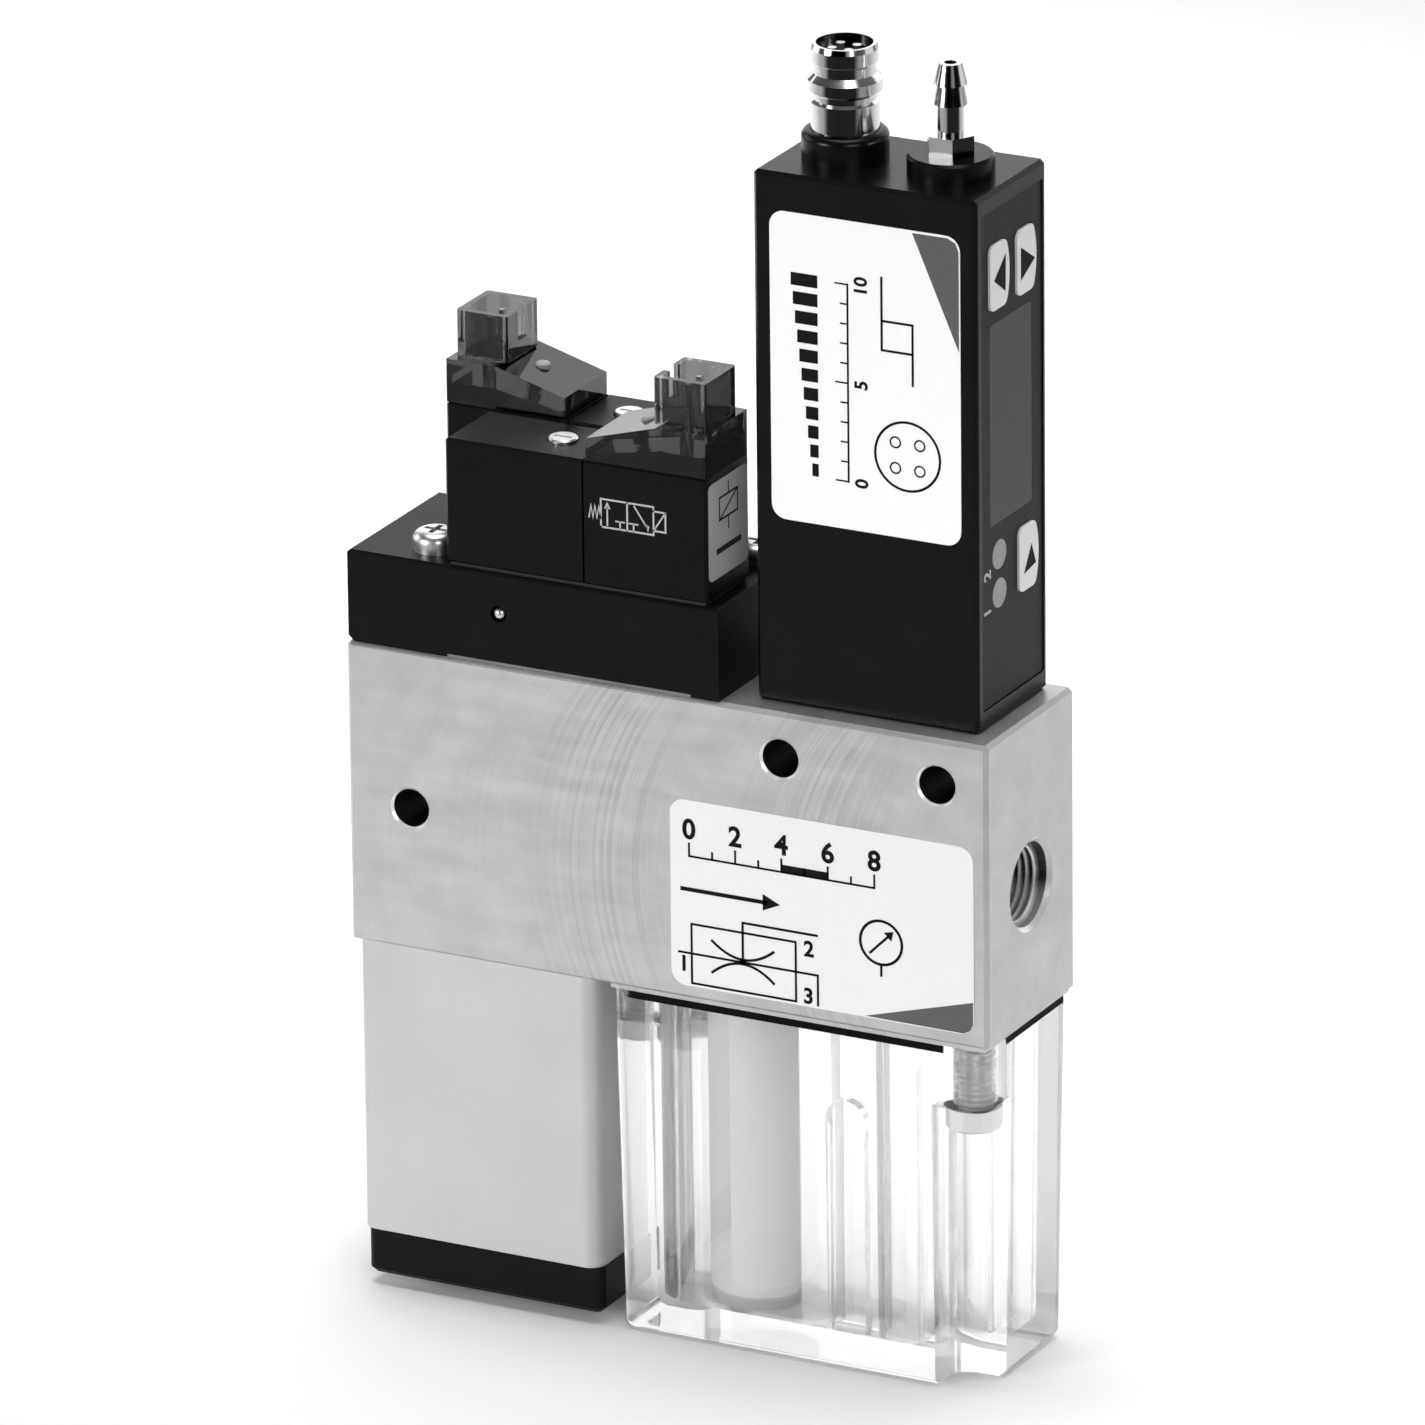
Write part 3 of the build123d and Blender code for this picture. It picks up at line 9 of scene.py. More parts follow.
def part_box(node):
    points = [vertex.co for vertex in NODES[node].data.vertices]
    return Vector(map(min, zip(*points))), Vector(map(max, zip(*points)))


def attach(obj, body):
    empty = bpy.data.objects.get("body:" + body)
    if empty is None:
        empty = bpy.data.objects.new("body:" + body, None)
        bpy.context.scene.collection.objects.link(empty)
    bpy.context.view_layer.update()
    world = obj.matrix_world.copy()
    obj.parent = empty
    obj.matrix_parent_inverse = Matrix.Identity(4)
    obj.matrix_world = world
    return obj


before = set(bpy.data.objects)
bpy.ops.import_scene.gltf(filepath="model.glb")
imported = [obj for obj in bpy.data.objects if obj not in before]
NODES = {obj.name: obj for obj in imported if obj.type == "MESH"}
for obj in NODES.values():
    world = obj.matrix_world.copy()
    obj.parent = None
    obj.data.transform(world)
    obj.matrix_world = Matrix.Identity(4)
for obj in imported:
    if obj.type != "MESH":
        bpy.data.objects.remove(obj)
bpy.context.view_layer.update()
MM = 0.001


# The view

VIEW_FROM = Vector((772.31, -1484.59, 688.99)) * MM
VIEW_AZIMUTH = math.radians(27.47)
VIEW_ELEVATION = math.radians(20.23)
VIEW_ROLL = math.radians(-0.62)
LENS_MM = 401.2
SENSOR_MM = 36.0


def add_camera():
    """A long lens at the photograph's place, with its own small roll."""
    data = bpy.data.cameras.new("camera")
    data.lens = LENS_MM
    data.sensor_width = SENSOR_MM
    data.sensor_fit = "HORIZONTAL"
    data.clip_end = 20
    camera = bpy.data.objects.new("camera", data)
    azimuth, elevation = VIEW_AZIMUTH, VIEW_ELEVATION
    back = Vector((
        math.sin(azimuth) * math.cos(elevation),
        -math.cos(azimuth) * math.cos(elevation),
        math.sin(elevation),
    ))
    level = Vector((math.cos(azimuth), math.sin(azimuth), 0))
    upward = back.cross(level)
    right = level * math.cos(VIEW_ROLL) + upward * math.sin(VIEW_ROLL)
    up = upward * math.cos(VIEW_ROLL) - level * math.sin(VIEW_ROLL)
    turn = Matrix((right, up, back)).transposed().to_4x4()
    camera.matrix_world = Matrix.Translation(VIEW_FROM) @ turn
    bpy.context.scene.collection.objects.link(camera)
    bpy.context.scene.camera = camera


# Small helpers for node materials


class Finish:
    """A principled material with the few procedural steps that the finishes below share."""

    def __init__(self, name, colour, roughness, **sockets):
        self.material = bpy.data.materials.new(name)
        self.material.use_nodes = True
        self.tree = self.material.node_tree
        self.shader = self.tree.nodes["Principled BSDF"]
        self.shader.inputs["Base Color"].default_value = (*colour, 1)
        self.shader.inputs["Roughness"].default_value = roughness
        for socket, value in sockets.items():
            self.shader.inputs[socket.replace("_", " ")].default_value = value
        self.place = self.tree.nodes.new("ShaderNodeTexCoord").outputs["Object"]
        self.last_bump = None

    def link(self, source, target):
        self.tree.links.new(source, target)

    def math(self, kind, first, second=None):
        node = self.tree.nodes.new("ShaderNodeMath")
        node.operation = kind
        for slot, value in enumerate((first, second)):
            if value is None:
                continue
            if isinstance(value, (int, float)):
                node.inputs[slot].default_value = value
            else:
                self.link(value, node.inputs[slot])
        return node.outputs[0]

    def plus(self, first, second):
        return self.math("ADD", first, second)

    def minus(self, first, second):
        return self.math("SUBTRACT", first, second)

    def times(self, first, second):
        return self.math("MULTIPLY", first, second)

    def over(self, first, second):
        return self.math("DIVIDE", first, second)

    def below(self, value, limit):
        return self.math("LESS_THAN", value, limit)

    def above(self, value, limit):
        return self.math("GREATER_THAN", value, limit)

    def size(self, value):
        return self.math("ABSOLUTE", value)

    def at_least_zero(self, value):
        return self.math("MAXIMUM", value, 0.0)

    def clamped(self, value):
        """The value, held between zero and one."""
        return self.math("MINIMUM", self.at_least_zero(value), 1.0)

    def inverse(self, mask):
        return self.minus(1.0, mask)

    def squares(self, first, second):
        """The squared distance from an axis, from the two offsets across it."""
        return self.plus(self.times(first, first), self.times(second, second))

    def rings(self, coordinate, step):
        """Even ridges along a coordinate, one each step."""
        return self.math("SINE", self.times(coordinate, 2 * math.pi / step))

    def axes(self):
        node = self.tree.nodes.new("ShaderNodeSeparateXYZ")
        self.link(self.place, node.inputs[0])
        return node.outputs

    def stretched(self, scale):
        """The place, with each axis drawn out or squeezed."""
        node = self.tree.nodes.new("ShaderNodeMapping")
        node.inputs["Scale"].default_value = scale
        self.link(self.place, node.inputs["Vector"])
        return node.outputs[0]

    def noise(self, scale, detail=3.0, stretch=None):
        node = self.tree.nodes.new("ShaderNodeTexNoise")
        node.inputs["Scale"].default_value = scale
        node.inputs["Detail"].default_value = detail
        self.link(self.stretched(stretch) if stretch else self.place, node.inputs["Vector"])
        return node.outputs["Fac"]

    def noise_along(self, coordinate, scale, detail=2.0):
        """Noise that varies along one worked-out coordinate only."""
        node = self.tree.nodes.new("ShaderNodeTexNoise")
        node.noise_dimensions = "1D"
        node.inputs["Scale"].default_value = scale
        node.inputs["Detail"].default_value = detail
        self.link(coordinate, node.inputs["W"])
        return node.outputs["Fac"]

    def between(self, factor, low, high):
        """A factor from zero to one, spread from low to high."""
        node = self.tree.nodes.new("ShaderNodeMapRange")
        node.inputs["To Min"].default_value = low
        node.inputs["To Max"].default_value = high
        self.link(factor, node.inputs["Value"])
        return node.outputs[0]

    def tint(self, factor, dark, light):
        """Colours the surface from dark to light with a factor."""
        ramp = self.tree.nodes.new("ShaderNodeMix")
        ramp.data_type = "RGBA"
        ramp.inputs["A"].default_value = (*dark, 1)
        ramp.inputs["B"].default_value = (*light, 1)
        self.link(factor, ramp.inputs["Factor"])
        self.link(ramp.outputs["Result"], self.shader.inputs["Base Color"])

    def blend(self, mask, value):
        """Blends the colour found so far to a plain grey where the mask is set."""
        socket = self.shader.inputs["Base Color"]
        before = socket.links[0].from_socket
        node = self.tree.nodes.new("ShaderNodeMix")
        node.data_type = "RGBA"
        node.inputs["B"].default_value = (value, value, value, 1)
        self.link(mask, node.inputs["Factor"])
        self.link(before, node.inputs["A"])
        self.link(node.outputs["Result"], socket)

    def rough(self, factor, low, high):
        self.link(self.between(factor, low, high), self.shader.inputs["Roughness"])

    def bump(self, height, strength, distance):
        """Adds relief on top of the relief so far."""
        node = self.tree.nodes.new("ShaderNodeBump")
        node.inputs["Strength"].default_value = strength
        node.inputs["Distance"].default_value = distance
        self.link(height, node.inputs["Height"])
        if self.last_bump:
            self.link(self.last_bump, node.inputs["Normal"])
        self.last_bump = node.outputs["Normal"]
        self.link(self.last_bump, self.shader.inputs["Normal"])


def grey(value):
    return (value, value, value)


BODY_H = 36.0


def body_foot():
    """The height of the body's underside: the switch stands on its top."""
    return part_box("switch_housing")[0].z - BODY_H * MM


# The cutter of the milled faces: the radius and the middle height of its arcs, and their steps
ARC_RADIUS = 35.7 * MM
ARC_LEVEL = 56.1 * MM
ARC_STEP = 1.0 * MM
ARC_FINE_STEP = ARC_STEP / 2.2
ARC_WOBBLE = 0.6 * MM
ARC_SHARPNESS = 11.0
ARC_FINE_DEPTH, ARC_LINE_DEPTH = 0.45, 0.32

# The arcs are strong around these places along the body, and faint elsewhere
ARC_PATCHES = (-6.5 * MM, 19.5 * MM)
ARC_PATCH_W = 11.0 * MM
ARC_PATCH_GAIN = 1.6
ARC_GAIN_ELSEWHERE = 0.55

# Mounting holes: places from the block's left end and its underside, and where their shade begins
MOUNT_HOLES = ((7.9, 17.0), (54.8, 30.5), (74.3, 30.5))
MOUNT_HOLE_R = 2.4
MOUNT_RIM_R = 2.62
BORE_SHADE_FROM = 0.36
RIM_SKIN = 0.02

# The ports: heights above the body's underside, the reach of their shade, and where it begins
VACUUM_PORT_LEVEL, SUPPLY_PORT_LEVEL = 16.0, 26.5
PORT_SHADE_R = 5.0
PORT_SHADE_FROM = 0.5
PORT_RIM_R = 5.7

# Their walls turn from dark to pale between these heights, where light from above falls on them
PORT_PALE_FROM, PORT_PALE_TO = -1.0, -2.6

# Greys of painted shade, where light does not reach, and of a painted highlight on the chamfers and
# port mouths
PAINTED_BORE_SHADE, PAINTED_PORT_SHADE, PAINTED_HIGHLIGHT_GREY = 0.03, 0.04, 0.95


def milling_marks(finish, x, z):
    """Arcs of a fly cutter: fine ones, with darker lines a feed step apart, stronger in patches."""
    offset = finish.minus(z, ARC_LEVEL)
    inside = finish.minus(ARC_RADIUS ** 2, finish.times(offset, offset))
    reach = finish.math("SQRT", finish.at_least_zero(inside))
    wobble = finish.times(finish.noise(scale=60, detail=2), ARC_WOBBLE)
    sweep = finish.plus(finish.plus(x, reach), wobble)
    fine = finish.minus(finish.noise_along(sweep, scale=1 / ARC_FINE_STEP, detail=2), 0.5)
    ripple = finish.minus(finish.noise_along(sweep, scale=1 / ARC_STEP, detail=1), 0.5)
    lines = finish.at_least_zero(finish.inverse(finish.times(finish.size(ripple), ARC_SHARPNESS)))
    arcs = finish.minus(finish.times(fine, ARC_FINE_DEPTH), finish.times(lines, ARC_LINE_DEPTH))
    patch = finish.times(finish.noise(scale=45, detail=2), ARC_GAIN_ELSEWHERE)
    for centre in ARC_PATCHES:
        away = finish.over(finish.size(finish.minus(x, centre)), ARC_PATCH_W)
        near = finish.at_least_zero(finish.inverse(away))
        patch = finish.plus(patch, finish.times(near, ARC_PATCH_GAIN))
    return finish.times(arcs, patch)


def milled_aluminium():
    """Milled faces over a fine draw grain.

    The walls of the holes and ports carry painted shade a little way in, where light does not reach
    the bores. The hole chamfers and the ports' lower chamfers carry a painted highlight."""
    finish = Finish("milled_aluminium", grey(0.62), 0.4, Metallic=0.75)
    x, y, z = finish.axes()
    marks = milling_marks(finish, x, z)
    drawn = finish.noise(scale=700, detail=4, stretch=(0.12, 1.0, 1.0))
    mottled = finish.noise(scale=260, detail=6)
    shade = finish.plus(finish.times(mottled, 0.6), finish.times(drawn, 0.4))
    finish.tint(finish.plus(shade, finish.times(marks, 0.45)), grey(0.38), grey(0.62))
    finish.rough(finish.plus(finish.times(marks, 0.3), drawn), low=0.35, high=0.48)
    finish.bump(marks, strength=0.25, distance=0.05 * MM)
    finish.bump(drawn, strength=0.14, distance=0.02 * MM)
    bores, chamfers = bore_masks(finish, x, y, z)
    # Painted highlight on the hole chamfers, then painted shade in the bores
    finish.blend(chamfers, PAINTED_HIGHLIGHT_GREY)
    finish.blend(bores, PAINTED_BORE_SHADE)
    walls, mouths = port_masks(finish, x, y, z)
    # Painted shade on the ports' upper walls, then a painted highlight on their lower mouths
    finish.blend(walls, PAINTED_PORT_SHADE)
    finish.blend(mouths, PAINTED_HIGHLIGHT_GREY)
    return finish.material


def bore_masks(finish, x, y, z):
    """Two masks: painted shade inside the mounting holes past their chamfers, and a painted
    highlight on the chamfers themselves.
    """
    low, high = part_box("body_block")
    near = None
    for place_x, place_z in MOUNT_HOLES:
        dx = finish.minus(x, low.x + place_x * MM)
        dz = finish.minus(z, body_foot() + place_z * MM)
        squares = finish.squares(dx, dz)
        near = squares if near is None else finish.math("MINIMUM", near, squares)
    hole = finish.below(near, (MOUNT_HOLE_R * MM) ** 2)
    behind = finish.above(y, low.y + BORE_SHADE_FROM * MM)
    before = finish.below(y, high.y - BORE_SHADE_FROM * MM)
    inside = finish.times(behind, before)
    rim = finish.below(near, (MOUNT_RIM_R * MM) ** 2)
    front_skin = finish.below(y, low.y + RIM_SKIN * MM)
    rear_skin = finish.above(y, high.y - RIM_SKIN * MM)
    skin = finish.math("MINIMUM", finish.plus(front_skin, rear_skin), 1.0)
    chamfer = finish.times(rim, finish.inverse(skin))
    return finish.times(hole, inside), finish.times(chamfer, finish.inverse(inside))


def port_pale(finish, dz):
    """Zero above a port's axis, one on the lower part of its wall."""
    fall = (PORT_PALE_TO - PORT_PALE_FROM) * MM
    return finish.clamped(finish.over(finish.minus(dz, PORT_PALE_FROM * MM), fall))


def port_masks(finish, x, y, z):
    """Two masks: painted shade on the ports' upper walls past their mouths, and a painted highlight
    on their lower chamfers.
    """
    low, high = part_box("body_block")
    dark = bright = 0.0
    for level in (VACUUM_PORT_LEVEL, SUPPLY_PORT_LEVEL):
        dy = finish.minus(y, (low.y + high.y) / 2)
        dz = finish.minus(z, body_foot() + level * MM)
        squares = finish.squares(dy, dz)
        pale = port_pale(finish, dz)
        wall = finish.below(squares, (PORT_SHADE_R * MM) ** 2)
        rim = finish.below(squares, (PORT_RIM_R * MM) ** 2)
        dark = finish.plus(finish.times(wall, finish.inverse(pale)), dark)
        bright = finish.plus(finish.times(rim, pale), bright)
    reach = finish.size(x)
    inside = finish.below(reach, high.x - PORT_SHADE_FROM * MM)
    sunk = finish.below(reach, high.x - RIM_SKIN * MM)
    mouth = finish.times(sunk, finish.inverse(inside))
    return finish.times(dark, inside), finish.times(bright, mouth)


def satin_aluminium():
    """Bead-blasted and anodised: even and pale, with a very fine grain."""
    finish = Finish("satin_aluminium", grey(0.50), 0.5, Metallic=0.5)
    grain = finish.noise(scale=2600, detail=2)
    cloudy = finish.noise(scale=70, detail=4)
    finish.tint(finish.plus(finish.times(grain, 0.3), cloudy), grey(0.44), grey(0.56))
    finish.rough(grain, low=0.46, high=0.6)
    finish.bump(grain, strength=0.25, distance=0.03 * MM)
    return finish.material


TURNING_STEP = 0.25 * MM


def turned_aluminium():
    """Lathe-turned inner pieces, with the tool's rings along their length."""
    finish = Finish("turned_aluminium", grey(0.75), 0.3, Metallic=1.0)
    rings = finish.rings(finish.axes()[0], TURNING_STEP)
    finish.rough(finish.noise(scale=400, detail=2), low=0.22, high=0.4)
    finish.bump(rings, strength=0.2, distance=0.02 * MM)
    return finish.material


def black_plastic(name="black_plastic", roughness=(0.3, 0.44), specular=0.10, grain=3200):
    """Moulded black: a spark-eroded grain, a little dust in the gloss."""
    finish = Finish(name, grey(0.003), 0.42, Specular_IOR_Level=specular)
    sparks = finish.noise(scale=grain, detail=2)
    dust = finish.noise(scale=180, detail=5)
    finish.tint(dust, grey(0.002), grey(0.0045))
    finish.rough(finish.plus(finish.times(sparks, 0.4), finish.times(dust, 0.6)), *roughness)
    finish.bump(sparks, strength=0.18, distance=0.02 * MM)
    return finish.material


# The plug shrouds on the valves' caps: their height, and how soon the painted light that makes the
# plastic paler sets in
SHROUD_H = 5.5
SHROUD_FADE = 0.4


def smoked_plastic():
    """The caps over the coils: dark clear plastic with flow lines, and painted light in the plug
    shrouds, paler and streaked where light shows through their walls.
    """
    finish = Finish("smoked_plastic", grey(0.1), 0.05, Transmission_Weight=1.0, IOR=1.49)
    shroud_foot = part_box("valve_cap_front")[1].z - SHROUD_H * MM
    z = finish.axes()[2]
    shroud = finish.clamped(finish.over(finish.minus(z, shroud_foot), SHROUD_FADE * MM))
    streaks = finish.noise(scale=700, detail=2, stretch=(1.0, 1.0, 0.08))
    flow = finish.noise(scale=220, detail=3, stretch=(1.0, 3.0, 0.6))
    streaks = finish.times(finish.minus(streaks, 0.25), 1.6)
    # Painted light: the shrouds are paler and streaked, standing in for light seen through their
    # walls
    painted_see_through = finish.times(shroud, finish.plus(streaks, 0.15))
    finish.tint(finish.plus(painted_see_through, finish.times(flow, 0.12)), grey(0.035), grey(0.28))
    finish.bump(flow, strength=0.06, distance=0.1 * MM)
    return finish.material


def clear_plastic():
    """The bowl: thick clear plastic with the soft waves of a moulding."""
    finish = Finish("clear_plastic", grey(0.99), 0.05,
                    Transmission_Weight=1.0, IOR=1.46, Alpha=0.78)
    waves = finish.noise(scale=55, detail=2, stretch=(1.0, 1.0, 0.25))
    finish.tint(waves, grey(0.985), grey(1.0))
    finish.bump(waves, strength=0.10, distance=0.4 * MM)
    return finish.material


# Bearings of the painted reflection, a dark band on the plated parts, from the front towards the
# right, and its soft edge
SHELL_BAND = 20
NIPPLE_BAND = 38
BAND_FROM, BAND_TO = 0.85, 0.92
PAINTED_REFLECTION_GREY = 0.04
PLATED_RING_STEP = 0.22 * MM


def nickel(name, bearing):
    """Bright plated turned parts with fine tool rings and one dark upright band.

    The band is a painted reflection of a studio's dark front in such plating. It is fixed to the
    metal."""
    finish = Finish(name, grey(0.72), 0.1, Metallic=1.0)
    rings = finish.rings(finish.axes()[2], PLATED_RING_STEP)
    smudge = finish.noise(scale=300, detail=4)
    finish.tint(smudge, grey(0.62), grey(0.80))
    normal = finish.tree.nodes.new("ShaderNodeNewGeometry").outputs["Normal"]
    facing = finish.tree.nodes.new("ShaderNodeVectorMath")
    facing.operation = "DOT_PRODUCT"
    finish.link(normal, facing.inputs[0])
    turn = math.radians(bearing)
    facing.inputs[1].default_value = (math.sin(turn), -math.cos(turn), 0)
    band = finish.over(finish.minus(facing.outputs["Value"], BAND_FROM), BAND_TO - BAND_FROM)
    # Painted reflection: faces turned to the front are darkened into the band
    finish.blend(finish.clamped(band), PAINTED_REFLECTION_GREY)
    finish.rough(smudge, low=0.06, high=0.2)
    finish.bump(rings, strength=0.05, distance=0.01 * MM)
    return finish.material


SCREW_PITCH = 0.7 * MM


def zinc(name, thread_above=None):
    """Bright zinc plate. The shanks of the bowl screws carry a fine thread as relief."""
    finish = Finish(name, grey(0.78), 0.22, Metallic=1.0 if thread_above is None else 0.55)
    scratches = finish.noise(scale=500, detail=4, stretch=(1.0, 1.0, 0.3))
    finish.tint(scratches, grey(0.62), grey(0.86))
    finish.rough(scratches, low=0.24, high=0.42)
    if thread_above is None:
        finish.bump(scratches, strength=0.15, distance=0.03 * MM)
        return finish.material
    z = finish.axes()[2]
    turns = finish.times(finish.math("PINGPONG", z, SCREW_PITCH / 2), 2 / SCREW_PITCH)
    relief = finish.times(turns, finish.above(z, thread_above))
    finish.bump(relief, strength=0.9, distance=0.28 * MM)
    return finish.material


def printed_film(name, value):
    """Label stock: white, satin, with a hint of paper fibre."""
    finish = Finish(name, grey(value), 0.42, Specular_IOR_Level=0.4)
    fibre = finish.noise(scale=1500, detail=3)
    finish.tint(fibre, grey(value * 0.97), grey(value))
    finish.rough(fibre, low=0.36, high=0.48)
    finish.bump(fibre, strength=0.04, distance=0.01 * MM)
    return finish.material


def ink(name, value):
    finish = Finish(name, grey(value), 0.45, Specular_IOR_Level=0.03)
    speckle = finish.noise(scale=4000, detail=2)
    finish.tint(speckle, grey(value * 0.85), grey(value * 1.1))
    return finish.material


def embossed_film(name, low, high):
    """A film with a fine pebble, such as the keypad's."""
    finish = Finish(name, grey(low), 0.5, Specular_IOR_Level=0.13)
    pebble = finish.noise(scale=2400, detail=2)
    broad = finish.noise(scale=60, detail=3)
    finish.tint(broad, grey(low), grey(high))
    finish.rough(pebble, low=0.4, high=0.55)
    finish.bump(pebble, strength=0.15, distance=0.02 * MM)
    return finish.material


def display_glass():
    """The dark window over the display, a little hazy."""
    finish = Finish("display_glass", grey(0.03), 0.3, Specular_IOR_Level=0.17)
    haze = finish.noise(scale=40, detail=3)
    finish.tint(haze, grey(0.024), grey(0.034))
    finish.rough(finish.noise(scale=700, detail=3), low=0.26, high=0.38)
    return finish.material


def moulded_key():
    """The keys: pale, with the sheen that fingers leave."""
    finish = Finish("moulded_key", grey(0.80), 0.45)
    wear = finish.noise(scale=240, detail=4)
    finish.tint(wear, grey(0.76), grey(0.86))
    finish.rough(wear, low=0.38, high=0.55)
    finish.bump(finish.noise(scale=3000, detail=2), strength=0.1, distance=0.02 * MM)
    return finish.material


def frosted_lens():
    """Lamp lenses that let a little light in."""
    finish = Finish("frosted_lens", grey(0.38), 0.4, Transmission_Weight=0.25, IOR=1.46)
    cloud = finish.noise(scale=500, detail=3)
    finish.tint(cloud, grey(0.34), grey(0.44))
    finish.rough(cloud, low=0.3, high=0.5)
    return finish.material


def rubber(name="rubber", value=0.012, specular=0.3):
    """Black or grey rubber with a dull bloom."""
    finish = Finish(name, grey(value), 0.6, Specular_IOR_Level=specular)
    bloom = finish.noise(scale=800, detail=4)
    finish.tint(bloom, grey(value * 0.7), grey(value * 1.5))
    finish.rough(bloom, low=0.5, high=0.72)
    finish.bump(bloom, strength=0.2, distance=0.03 * MM)
    return finish.material


def porous():
    """Sintered plastic granules, as in the filter and the silencer."""
    finish = Finish("porous", grey(0.88), 0.85)
    cells = finish.tree.nodes.new("ShaderNodeTexVoronoi")
    cells.inputs["Scale"].default_value = 2600
    finish.link(finish.place, cells.inputs["Vector"])
    finish.tint(finish.noise(scale=300, detail=4), grey(0.95), grey(0.99))
    finish.bump(cells.outputs["Distance"], strength=0.4, distance=0.1 * MM)
    return finish.material


def brass(name, colour):
    """Bare or tinned contact metal, a little tarnished."""
    finish = Finish(name, colour, 0.25, Metallic=1.0)
    tarnish = finish.noise(scale=300, detail=4)
    finish.tint(tarnish, tuple(c * 0.8 for c in colour), colour)
    finish.rough(tarnish, low=0.16, high=0.34)
    return finish.material


def board():
    """The circuit board's green lacquer."""
    finish = Finish("board", (0.02, 0.12, 0.05), 0.3)
    finish.tint(finish.noise(scale=400, detail=3), (0.015, 0.09, 0.04), (0.03, 0.15, 0.06))
    finish.rough(finish.noise(scale=900, detail=2), low=0.22, high=0.4)
    return finish.material


BOWL_SCREW_HEAD = 2.7


def dress_nodes():
    """Gives each node of the model its finish; a name without its place stands for every place."""
    shank_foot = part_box("bowl_screws")[0].z + BOWL_SCREW_HEAD * MM
    plastic = black_plastic()
    caps = smoked_plastic()
    film = printed_film("label_film", 0.82)
    zinc_plate = zinc("zinc_plate")
    tinned = brass("tin_plate", (0.72, 0.72, 0.70))
    soft = rubber()
    lens = frosted_lens()
    key = moulded_key()
    turned = turned_aluminium()
    sinter = porous()
    finishes = {
        "body_block": milled_aluminium(),
        "bore_plug": zinc_plate,
        "motive_nozzle": brass("brass", (0.72, 0.55, 0.25)),
        "receiver_tube": turned,
        "cartridge_seals": soft,
        "silencer_housing": satin_aluminium(),
        "silencer_insert": sinter,
        "silencer_cap": plastic,
        "silencer_screws": zinc_plate,
        "filter_bowl": clear_plastic(),
        "bowl_gasket": rubber("gasket_rubber", 0.003, 0.05),
        "bowl_screws": zinc("screw_zinc", shank_foot),
        "filter_element": sinter,
        "filter_cap": embossed_film("filter_end", 0.55, 0.66),
        "valve_manifold": plastic,
        "manifold_gasket": rubber("grey_rubber", 0.16),
        "manifold_screws": zinc_plate,
        "gallery_balls": zinc_plate,
        "switch_housing": black_plastic("housing_plastic", (0.2, 0.32), 0.15),
        "keypad_panel": embossed_film("keypad_film", 0.008, 0.012),
        "display_window": display_glass(),
        "display_module": plastic,
        "circuit_board": board(),
        "led_lenses": lens,
        "pressure_sensor": turned,
        "switch_seal": soft,
        "connector_shell": nickel("shell_nickel", SHELL_BAND),
        "connector_insert": black_plastic("insert_plastic", (0.3, 0.45), 0.3, grain=4200),
        "connector_contacts": tinned,
        "hose_nipple": nickel("nipple_nickel", NIPPLE_BAND),
        "body_label": film,
        "switch_label": printed_film("switch_label_film", 0.97),
        "valve_body": plastic,
        "valve_cap": caps,
        "valve_pins": tinned,
        "valve_lamp": lens,
        "valve_seal": soft,
        "valve_label": printed_film("valve_label_film", 0.46),
        "override_button": zinc("button_steel"),
        "key": key,
    }
    for name, node in NODES.items():
        finish = finishes.get(name)
        if finish is None:
            finish = next(f for prefix, f in finishes.items() if name.startswith(prefix + "_"))
        for slot in node.material_slots:
            slot.material = finish
        if not node.material_slots:
            node.data.materials.append(finish)


# Pieces that the prints and threads are made of


def add_piece(name, mesh, material, body):
    """A new object that rides on a body, with the given finish in its one slot."""
    mesh.materials.clear()
    mesh.materials.append(material)
    piece = bpy.data.objects.new(name, mesh)
    bpy.context.scene.collection.objects.link(piece)
    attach(piece, body)


def mesh_of(name, bm):
    mesh = bpy.data.meshes.new(name)
    bm.to_mesh(mesh)
    bm.free()
    return mesh


# Ink stands this far off what it is printed on
PRINT_LIFT = 0.02


class Sheet:
    """A flat place to print on: its lower left corner, and the directions to its right and up."""

    def __init__(self, origin, right, up):
        self.origin = Vector(origin)
        self.right = Vector(right)
        self.up = Vector(up)
        self.out = self.right.cross(self.up)

    def at(self, u, v):
        """A point on the sheet, from millimetres to the right and up."""
        return self.origin + (self.right * u + self.up * v) * MM + self.out * PRINT_LIFT * MM

    def matrix(self, u, v, turn):
        basis = Matrix((self.right, self.up, self.out)).transposed().to_4x4()
        return Matrix.Translation(self.at(u, v)) @ basis @ Matrix.Rotation(turn, 4, "Z")


def front_sheet(node):
    return Sheet(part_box(node)[0], (1, 0, 0), (0, 0, 1))


def right_sheet(node):
    """The right side of a node, measured from the model's own origin."""
    return Sheet((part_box(node)[1].x, 0, 0), (0, 1, 0), (0, 0, 1))


# A sharp bend of a stroke is mitred no further than this share of its width allows
MITRE_LIMIT = 0.3


